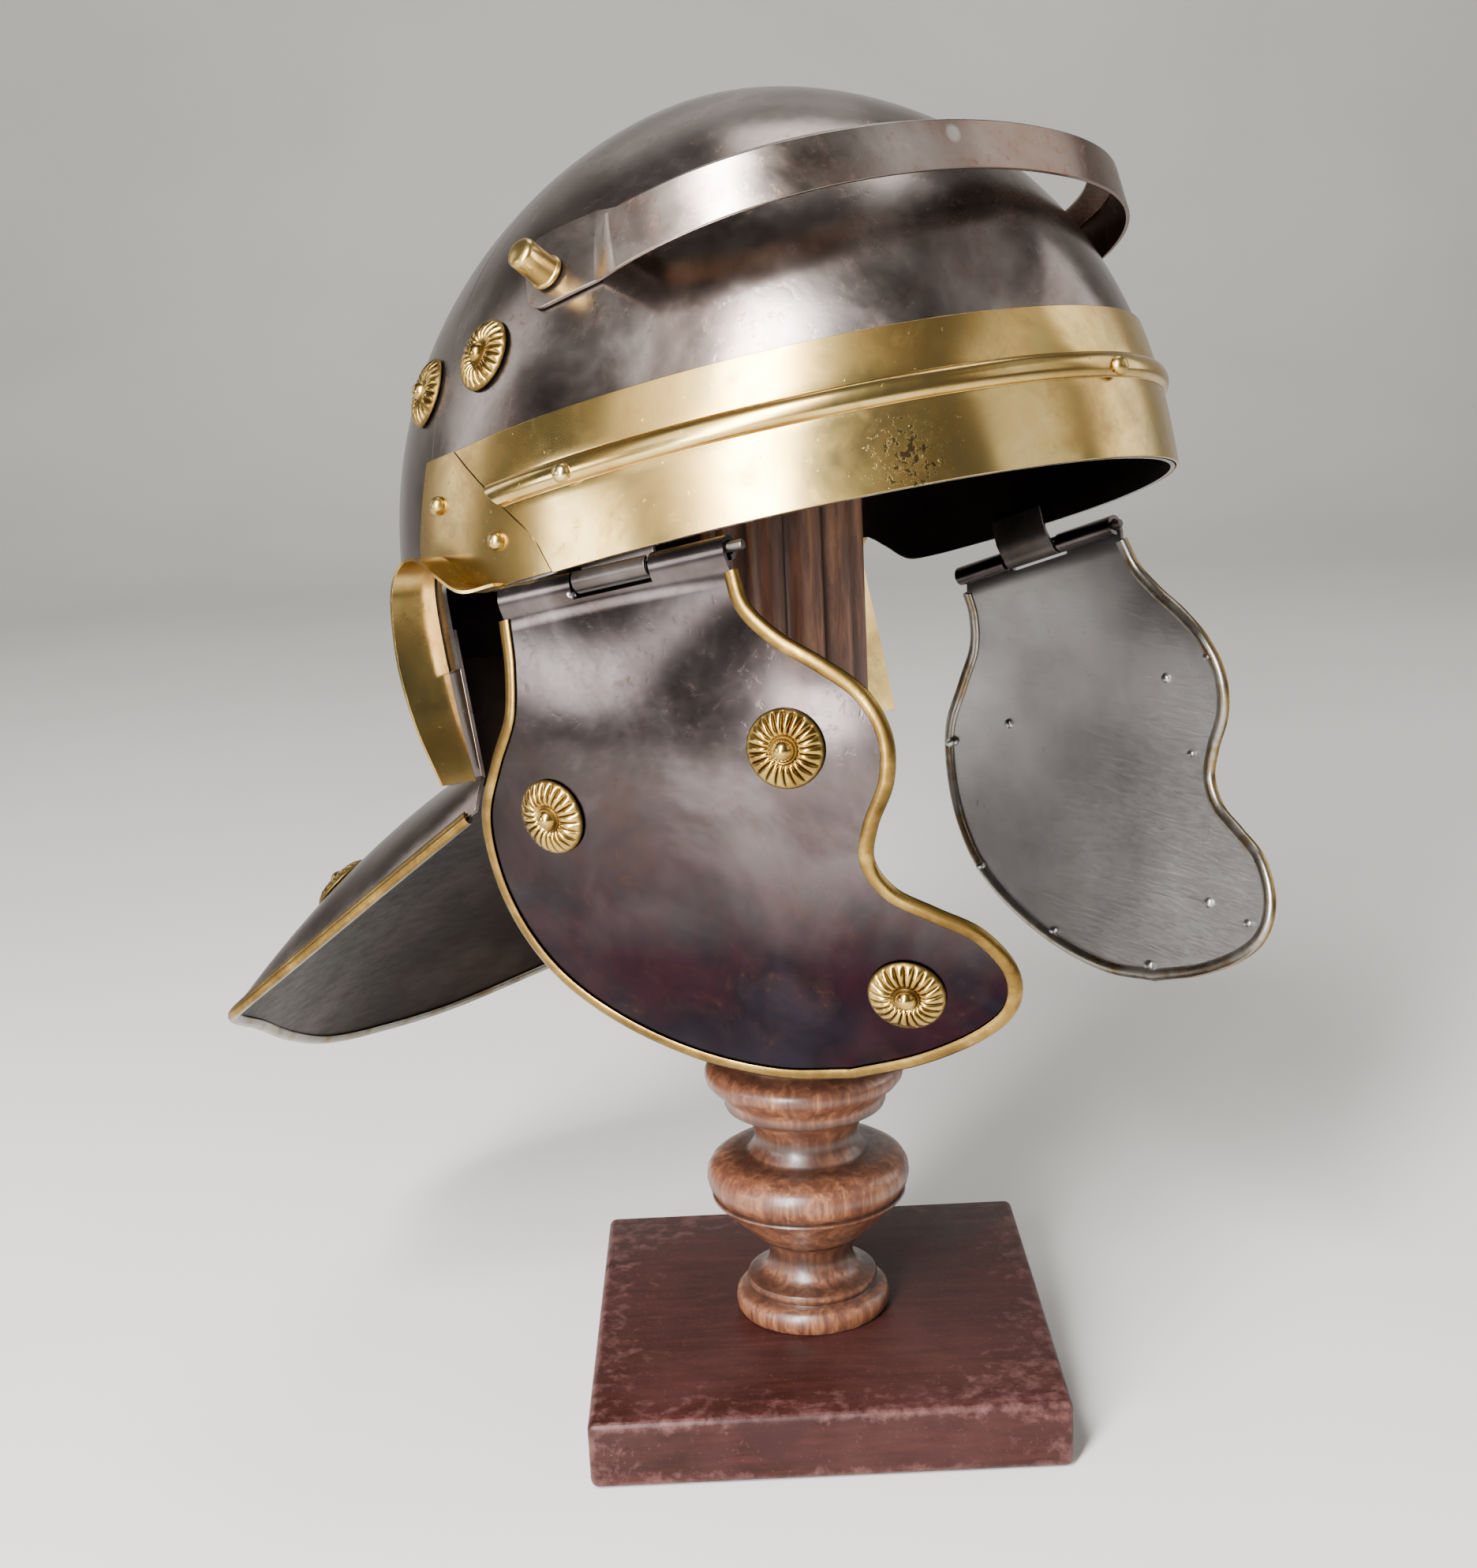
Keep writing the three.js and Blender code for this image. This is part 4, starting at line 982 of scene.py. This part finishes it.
def guard_depth(u, w):
    """How far the dished sheet lies in from a flat one; across, the dish begins below the hinge."""
    fade = min(max(w / GUARD_DISH["starts"], 0), 1)
    fade = fade * fade * (3 - 2 * fade)
    middle = GUARD_DISH["middle"]
    down = 0.5 * GUARD_DISH["drop"] * w * w
    return down + 0.5 * GUARD_DISH["cross"] * ((u - middle) ** 2 - middle ** 2) * fade


def guard_point(u, w, side):
    return Vector((u, -side * guard_depth(u, w), -w))


def guard_normal(u, w, side):
    return surface_normal(lambda a, b: guard_point(a, b, side), u, w, 0.4, Vector((30, -side * 300, 60)))


def outline_at(rows, w):
    """How far out the outline is at a depth below the hinge."""
    low, high = 0, 1
    for _ in range(30):
        middle = (low + high) / 2
        if smooth(rows, middle)[1] < w:
            low = middle
        else:
            high = middle
    return smooth(rows, (low + high) / 2)[0]


ROLL = 2.5  # radius of the middle of the rolled sheet
GUARD_ROWS = 66
GUARD_COLUMNS = 60
SLANT_DEPTH = 30  # how far down the slant of the hinge line still shows in the rows
FRONT_STEPS = 90
REAR_STEPS = 80


def roll(degrees):
    return [(ROLL * math.cos(math.radians(a)), ROLL * math.sin(math.radians(a))) for a in degrees]


# The guard's top in section, out and up from the hinge line: over the pin from inside, then down
TOP_PATH = [*roll(range(252, -1, -18)), (2.3, -1.5), (1.7, -3), (0.8, -4.4)]
LEAF_ROLL = roll(range(70, -181, -25))
LEAF_TOP = 12.8
LEAF_GAP = 0.4  # between the bowl's leaf and the knuckles beside it
RECESS_GAP = 0.5


def line_depth(side, u):
    """How far the hinge line lies below the guard's own top line at u."""
    _, rear_u, rear_w, front_u, front_w, _ = HINGE_LINES[side]
    return mix(rear_w, front_w, (u - rear_u) / (front_u - rear_u))


def guard_outline(side):
    """Rows of depth with the outline's rear and front there."""
    rear_line = REAR_TOP[side] + GUARD_REAR
    rows = []
    for i in range(GUARD_ROWS + 1):
        w = mix(GUARD_TOP, GUARD_FOOT, 1 - (1 - i / GUARD_ROWS) ** 1.8)
        rows.append((w, outline_at(rear_line, w), outline_at(GUARD_FRONT, w)))
    return rows


def guard_surface(side):
    """The sheet, rolled inward over the hinge pin at its top."""
    rows = guard_outline(side)
    total = len(TOP_PATH) + GUARD_ROWS

    def place(s, t):
        row = round(t * total)
        if row < len(TOP_PATH):
            u = mix(rows[0][1], rows[0][2], s)
            out, up = TOP_PATH[row]
            return Vector((u, side * out, up - line_depth(side, u)))
        w, rear_u, front_u = rows[row - len(TOP_PATH)]
        u = mix(rear_u, front_u, s)
        share = min((w - GUARD_TOP) / SLANT_DEPTH, 1)
        return guard_point(u, w + line_depth(side, u) * (1 - share) ** 2, side)
    return place


def in_recess(side):
    """Tells which faces of the rolled top are cut out for the bowl's leaf."""
    _, rear_u, _, front_u, _, _ = HINGE_LINES[side]
    third = (front_u - rear_u) / 3
    total = len(TOP_PATH) + GUARD_ROWS
    rows = guard_outline(side)

    def drop(s, t):
        u = mix(rows[0][1], rows[0][2], s)
        beside = rear_u + third - RECESS_GAP < u < front_u - third + RECESS_GAP
        return beside and t * total < len(TOP_PATH) - 1
    return drop


def guard_edging_frames(side):
    rear_line = REAR_TOP[side] + GUARD_REAR
    line = [smooth(GUARD_FRONT, i / FRONT_STEPS) for i in range(FRONT_STEPS + 1)]
    line += [smooth(rear_line, i / REAR_STEPS) for i in range(REAR_STEPS - 1, -1, -1)]
    points = [guard_point(u, w, side) for u, w in line]
    normals = [guard_normal(u, w, side) for u, w in line]
    return edge_frames(points, normals, guard_point(40, 75, side))


def along_line(start, end):
    """A frame with x from start to end and z as near to upright as it goes."""
    forward = (end - start).normalized()
    up = (Vector((0, 0, 1)) - forward * forward.z).normalized()
    return Matrix.Translation(start) @ Matrix((forward, up.cross(forward), up)).transposed().to_4x4()


def add_blob(parts, seat, size):
    """A flat drop of solder."""
    blob = bmesh.new()
    bmesh.ops.create_icosphere(blob, subdivisions=2, radius=size)
    bmesh.ops.scale(blob, vec=(1, 0.7, 0.4), verts=blob.verts)
    bmesh.ops.transform(blob, matrix=TO_METRES @ HELMET @ seat, verts=blob.verts)
    parts.append(blob)


TAIL_PROFILE = [(0, -0.3), (1.7, -0.3), (1.7, 0.3), (1.3, 1), (0, 1.2)]
SOLDER_SPOTS = [  # u, w, size
    (-19.5, 58, 2.6), (-13, 96, 2.1), (58, 124, 2.2), (17, 115.6, 1.9), (80.6, 70, 1.6),
    (101, 111, 1.8), (96, 42, 1.8),
]


def add_hinge_leaf(side, word, hinge, length):
    """The bowl's knuckle on the pin, and its leaf up inside the bowl."""
    inset = HINGE_LINES[side][5]
    path = LEAF_ROLL + [(-(ROLL + inset) / 2, 2.2), (-inset, 5), (-inset, LEAF_TOP)]

    def place(s, t):
        out, up = path[round(t * (len(path) - 1))]
        return Vector((mix(length / 3 + LEAF_GAP, length * 2 / 3 - LEAF_GAP, s), side * out, up))

    leaf = finished(
        f"hinge_leaf_{word}", surface(6, len(path) - 1, place, HELMET @ hinge),
        [hinge_steel], STANDING, [f"hinge_plate_{word}"], sharp=60,
    )
    thicken(leaf, SHEET * 0.9)


ROD_OVER = 3.5  # how far the pin stands out of the front knuckle


def add_hinge_rod(word, hinge, length):
    """The pin along the hinge line."""
    end = length + ROD_OVER
    profile = [(0, -0.9), (1.1, -0.9), (1.3, -0.6), (1.3, end - 0.6), (1.15, end - 0.1), (0, end)]
    lying = hinge @ Matrix.Rotation(math.radians(90), 4, "Y")
    finished(
        f"hinge_rod_{word}", turned(profile, 16, HELMET @ lying), [hinge_steel],
        STANDING, [f"hinge_pin_{word}"], sharp=50,
    )


for side, word in SIDES.items():
    body = f"cheek_{word}"
    swing, rear_u, rear_w, front_u, front_w, _ = HINGE_LINES[side]
    hung = along_line(
        Vector((HANGING_REAR[0], side * HANGING_REAR[1], HANGING_REAR[2])),
        Vector((HANGING_FRONT[0], side * HANGING_FRONT[1], HANGING_FRONT[2])),
    ) @ Matrix.Rotation(side * math.radians(swing), 4, "X")
    sheet = surface(
        GUARD_COLUMNS, len(TOP_PATH) + GUARD_ROWS, guard_surface(side), HELMET @ hung,
        HELMET @ hung @ Vector((40, -side * 200, -60)), in_recess(side),
    )
    guard = finished(
        f"cheek_guard_sheet_{word}", sheet,
        [guard_steel, guard_inside], body, [f"cheek_guard_{word}"], sharp=60,
    )
    thicken(guard, SHEET, inner_finish=True)
    finished(
        f"cheek_rim_{word}", bead_along(EDGING_SECTION, guard_edging_frames(side), HELMET @ hung),
        [rim_brass], body, [f"cheek_edging_{word}"], sharp=45,
    )
    drops = []
    for i, (u, w) in enumerate(GUARD_ROSETTES, 1):
        normal = guard_normal(u, w, side)
        seat = hung @ stand_up(guard_point(u, w, side) + normal * (SHEET / 2 + SEATED), normal)
        add_rosette(f"cheek_rose_{word}_{i}", f"cheek_rosette_{word}_{i}", seat, body)
        tail = hung @ stand_up(guard_point(u, w, side) - normal * (SHEET / 2), -normal)
        drops.append(turned(TAIL_PROFILE, 14, HELMET @ tail))
    for u, w, size in SOLDER_SPOTS:
        normal = guard_normal(u, w, side)
        add_blob(drops, hung @ stand_up(guard_point(u, w, side) - normal * SHEET, -normal), size)
    # One more drop in the corner beside the bowl's leaf
    corner_u = rear_u + (front_u - rear_u) / 3
    corner = Vector((corner_u - 0.5, side * 1.6, -3.4 - line_depth(side, corner_u)))
    add_blob(drops, hung @ stand_up(corner, Vector((1, side * 0.4, 0)).normalized()), 1.5)
    finished(f"rivet_tails_and_solder_{word}", joined(drops), [solder], body, (), sharp=60)

    rear_end = hung @ Vector((rear_u, 0, -rear_w))
    front_end = hung @ Vector((front_u, 0, -front_w))
    hinge = along_line(rear_end, front_end)
    length = (front_end - rear_end).length
    add_hinge_leaf(side, word, hinge, length)
    add_hinge_rod(word, hinge, length)


# Stand

COLUMN_X = -1.8
COLUMN_FOOT = 21.1
TURNING = [  # radius, height over the foot
    (0, 0), (23.2, 0), (23.9, 1.2), (24.1, 3.2), (23.7, 5.4), (22.3, 6.8), (20.4, 7.3), (19.7, 7.9),
    (20.2, 8.8), (20.5, 9.8), (20.1, 10.9), (18.8, 11.4), (16.4, 12), (14.4, 13.6), (13.3, 16), (13, 18.5),
    (13.3, 21), (14, 22.6), (15.2, 23.8), (16.6, 24.6), (17, 25.2), (18.4, 26.4), (23, 31), (27, 35.2),
    (29.6, 37.6), (30.2, 38.3), (30, 38.9), (29.2, 39.2), (29.6, 39.8), (30.9, 41.8), (31.5, 44.4),
    (31.2, 46.8), (29.9, 49), (27, 50.8), (22.6, 51.8), (19.4, 52), (18.5, 52.4), (18.1, 53.2),
    (16.8, 54.6), (16, 57), (16.1, 59.6), (17.2, 62), (19.4, 64.6), (22.6, 66.6), (24.6, 67.6), (25, 68.6),
    (24.9, 70), (25.3, 71.4), (26.8, 73), (29, 74.8), (30.4, 76.6), (30.8, 78.6), (30.2, 80.4),
    (28.6, 81.6), (26.4, 82.4), (24.6, 83.2), (23.6, 84.4), (23.4, 85.3), (0, 85.3),
]
# Heights of the hollows where the colour is darker, and how far the darkening reaches
DARK_LINES = [
    (7.9, 1.6), (11.6, 1.6), (18.5, 5), (25, 1.2), (39.2, 1), (52.3, 1.4), (57, 4), (68, 1.2), (83.5, 2),
]

base_place = Matrix.Translation((COLUMN_X, 0, COLUMN_FOOT))
column = turned(TURNING, 96, base_place)
layer = column.verts.layers.float.new("hollow")
for vert in column.verts:
    height = vert.co.z / MM - COLUMN_FOOT
    vert[layer] = max(math.exp(-((height - z) / wide) ** 2) for z, wide in DARK_LINES)
finished("turned_baluster", column, [column_timber], STANDING, ["stand_column"], sharp=40)

REEDS = 12
REED_RISE = 2
SHAFT_CORE = 22.1
HOLLOW_TOP = 23.3  # radius under which the colour darkens between the reeds
HOLLOW_DEPTH = 1.1
SHAFT_ROWS = [(104.5, 1.6), (106.4, 0.9), (108, 0.3), (111, 0), (345, 0)]  # height, rounded off


def shaft_surface(s, t):
    height, rounded = SHAFT_ROWS[round(t * (len(SHAFT_ROWS) - 1))]
    reed = REED_RISE * abs(math.sin(REEDS * math.pi * s)) ** 0.75
    r = SHAFT_CORE + reed - rounded
    return Vector((r * math.cos(math.tau * s) + COLUMN_X, r * math.sin(math.tau * s), height))


shaft = surface(REEDS * 12, len(SHAFT_ROWS) - 1, shaft_surface, Matrix.Identity(4))
bmesh.ops.holes_fill(shaft, edges=[e for e in shaft.edges if e.is_boundary], sides=0)
bmesh.ops.recalc_face_normals(shaft, faces=shaft.faces)
layer = shaft.verts.layers.float.new("hollow")
for vert in shaft.verts:
    r = math.hypot(vert.co.x / MM - COLUMN_X, vert.co.y / MM)
    vert[layer] = min(max((HOLLOW_TOP - r) / HOLLOW_DEPTH, 0), 1)
finished("reeded_shaft", shaft, [column_timber], STANDING, (), sharp=70)

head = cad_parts["stand_head"]
head.data.materials.clear()
head.data.materials.append(column_timber)

BOARD_WIDTH = 139.6
BOARD_THICK = 20.6
BOARD_MIDDLE = 10.4
BOARD_ROUNDING = 2.4
WORN_REACH = 5  # how far in from an edge or corner the paler wear and painted highlight go
board = bmesh.new()
bmesh.ops.create_cube(board, size=1)
bmesh.ops.scale(board, vec=(BOARD_WIDTH, BOARD_WIDTH, BOARD_THICK), verts=board.verts)
bmesh.ops.translate(board, vec=(0, 0, BOARD_MIDDLE), verts=board.verts)
bmesh.ops.bevel(
    board, geom=[*board.edges, *board.verts], offset=BOARD_ROUNDING, offset_type="OFFSET", segments=4,
    profile=0.5, affect="EDGES", material=-1,
)
bmesh.ops.subdivide_edges(board, edges=board.edges, cuts=3, use_grid_fill=True)
layer = board.verts.layers.float.new("worn")
for vert in board.verts:
    near = sorted([
        BOARD_WIDTH / 2 - abs(vert.co.x),
        BOARD_WIDTH / 2 - abs(vert.co.y),
        BOARD_THICK / 2 - abs(vert.co.z - BOARD_MIDDLE),
    ])
    vert[layer] = max(0, 1 - (near[0] + near[1]) / WORN_REACH)
bmesh.ops.transform(board, matrix=TO_METRES, verts=board.verts)
finished("base_board", board, [base_board], STANDING, ["stand_base"], sharp=40)


# Studio

def pale_floor():
    """Matt paper, a little uneven in its grey."""
    finish, tree, where = new_finish("pale_paper_floor")
    cloud = add(tree, "TexNoise", {"Vector": where, "Scale": grain(400), "Detail": 3, "Roughness": 0.5})
    colour = add(tree, "ValToRGB", {0: cloud, "stops": [(0.3, "#cfccc7"), (0.7, "#d8d5d0")]})
    look = add(tree, "BsdfPrincipled", {"Roughness": 0.8, "Base Color": colour})
    add(tree, "OutputMaterial", {"Surface": look})
    return finish


FLOOR = {"half": 4000, "front": -3400, "flat": 5200, "bend": 900, "run": 9000, "z": -0.3}


def backdrop_surface(s, t):
    """A floor that curves up behind the object."""
    x = mix(-FLOOR["half"], FLOOR["half"], s)
    past = t * FLOOR["run"] - FLOOR["flat"]
    back = FLOOR["front"] + FLOOR["flat"]
    if past < 0:
        return Vector((x, back + past, FLOOR["z"]))
    bend = FLOOR["bend"]
    turn = min(past / bend, math.pi / 2)
    rise = max(past - bend * math.pi / 2, 0)
    return Vector((x, back + bend * math.sin(turn), FLOOR["z"] + bend * (1 - math.cos(turn)) + rise))


floor_mesh = bpy.data.meshes.new("floor")
floor_bm = surface(4, 90, backdrop_surface, Matrix.Identity(4), Vector((0, -1000, -9000)))
floor_bm.to_mesh(floor_mesh)
floor_bm.free()
for face in floor_mesh.polygons:
    face.use_smooth = True
floor = bpy.data.objects.new("floor", floor_mesh)
bpy.context.scene.collection.objects.link(floor)
floor_mesh.materials.append(pale_floor())

world = bpy.data.worlds.new("studio")
bpy.context.scene.world = world
world.use_nodes = True
background = world.node_tree.nodes["Background"]
background.inputs["Color"].default_value = linear("#a9a6a3")
background.inputs["Strength"].default_value = 0.32


LIT_POINT = Vector((0, 0, 0.27))


def softbox(name, azimuth, elevation, away, width, height, power):
    """An area light that faces the helmet; azimuth 0 is behind the camera."""
    a, e = math.radians(azimuth), math.radians(elevation)
    towards = Vector((math.sin(a) * math.cos(e), -math.cos(a) * math.cos(e), math.sin(e)))
    place = LIT_POINT + away * towards
    lamp = bpy.data.lights.new(name, "AREA")
    lamp.shape = "RECTANGLE"
    lamp.size = width
    lamp.size_y = height
    lamp.energy = power
    light = bpy.data.objects.new(name, lamp)
    light.location = place
    light.rotation_euler = (LIT_POINT - place).to_track_quat("-Z", "Y").to_euler()
    bpy.context.scene.collection.objects.link(light)


SOFTBOXES = [  # name, azimuth, elevation, metres away, width and height in metres, watts
    ("key", -26, 28, 1.2, 0.24, 1.1, 76),
    ("front_fill", -48, 35, 1.9, 1.0, 1.2, 8),
    ("low_front", -29, -4, 1.2, 0.2, 0.2, 7),
    ("low_left", -68, 4, 1.4, 0.5, 0.3, 5),
    ("right_front", 62, 25, 2.2, 1.3, 1.2, 5),
    ("right", 106, 18, 1.6, 0.9, 1.1, 7.5),
    ("high_right", 80, 48, 1.8, 1.2, 0.9, 1.3),
    ("high_back", -172, 43, 1.8, 1.0, 0.5, 0.7),
    ("left", -112, 15, 1.9, 0.5, 1.2, 5),
    ("top", 170, 68, 2.2, 1.2, 0.9, 16),
]
for row in SOFTBOXES:
    softbox(*row)

CAMERA = {"lens": 49.47, "place": (-0.0166, -0.6267, 0.3396), "yaw": -0.1, "pitch": 13.4, "tilt": -2.75}
camera_data = bpy.data.cameras.new("camera")
camera_data.sensor_fit = "AUTO"
camera_data.sensor_width = 36
camera_data.lens = CAMERA["lens"]
camera_data.clip_start = 0.01
camera = bpy.data.objects.new("camera", camera_data)
bpy.context.scene.collection.objects.link(camera)
yaw, pitch, tilt = [math.radians(CAMERA[key]) for key in ("yaw", "pitch", "tilt")]
ahead = Vector((math.sin(yaw) * math.cos(pitch), math.cos(yaw) * math.cos(pitch), -math.sin(pitch)))
level = Vector((math.cos(yaw), -math.sin(yaw), 0))
upright = level.cross(ahead)
across = math.cos(tilt) * level + math.sin(tilt) * upright
top = -math.sin(tilt) * level + math.cos(tilt) * upright
facing = Matrix((across, top, -ahead)).transposed().to_4x4()
camera.matrix_world = Matrix.Translation(CAMERA["place"]) @ facing
bpy.context.scene.camera = camera
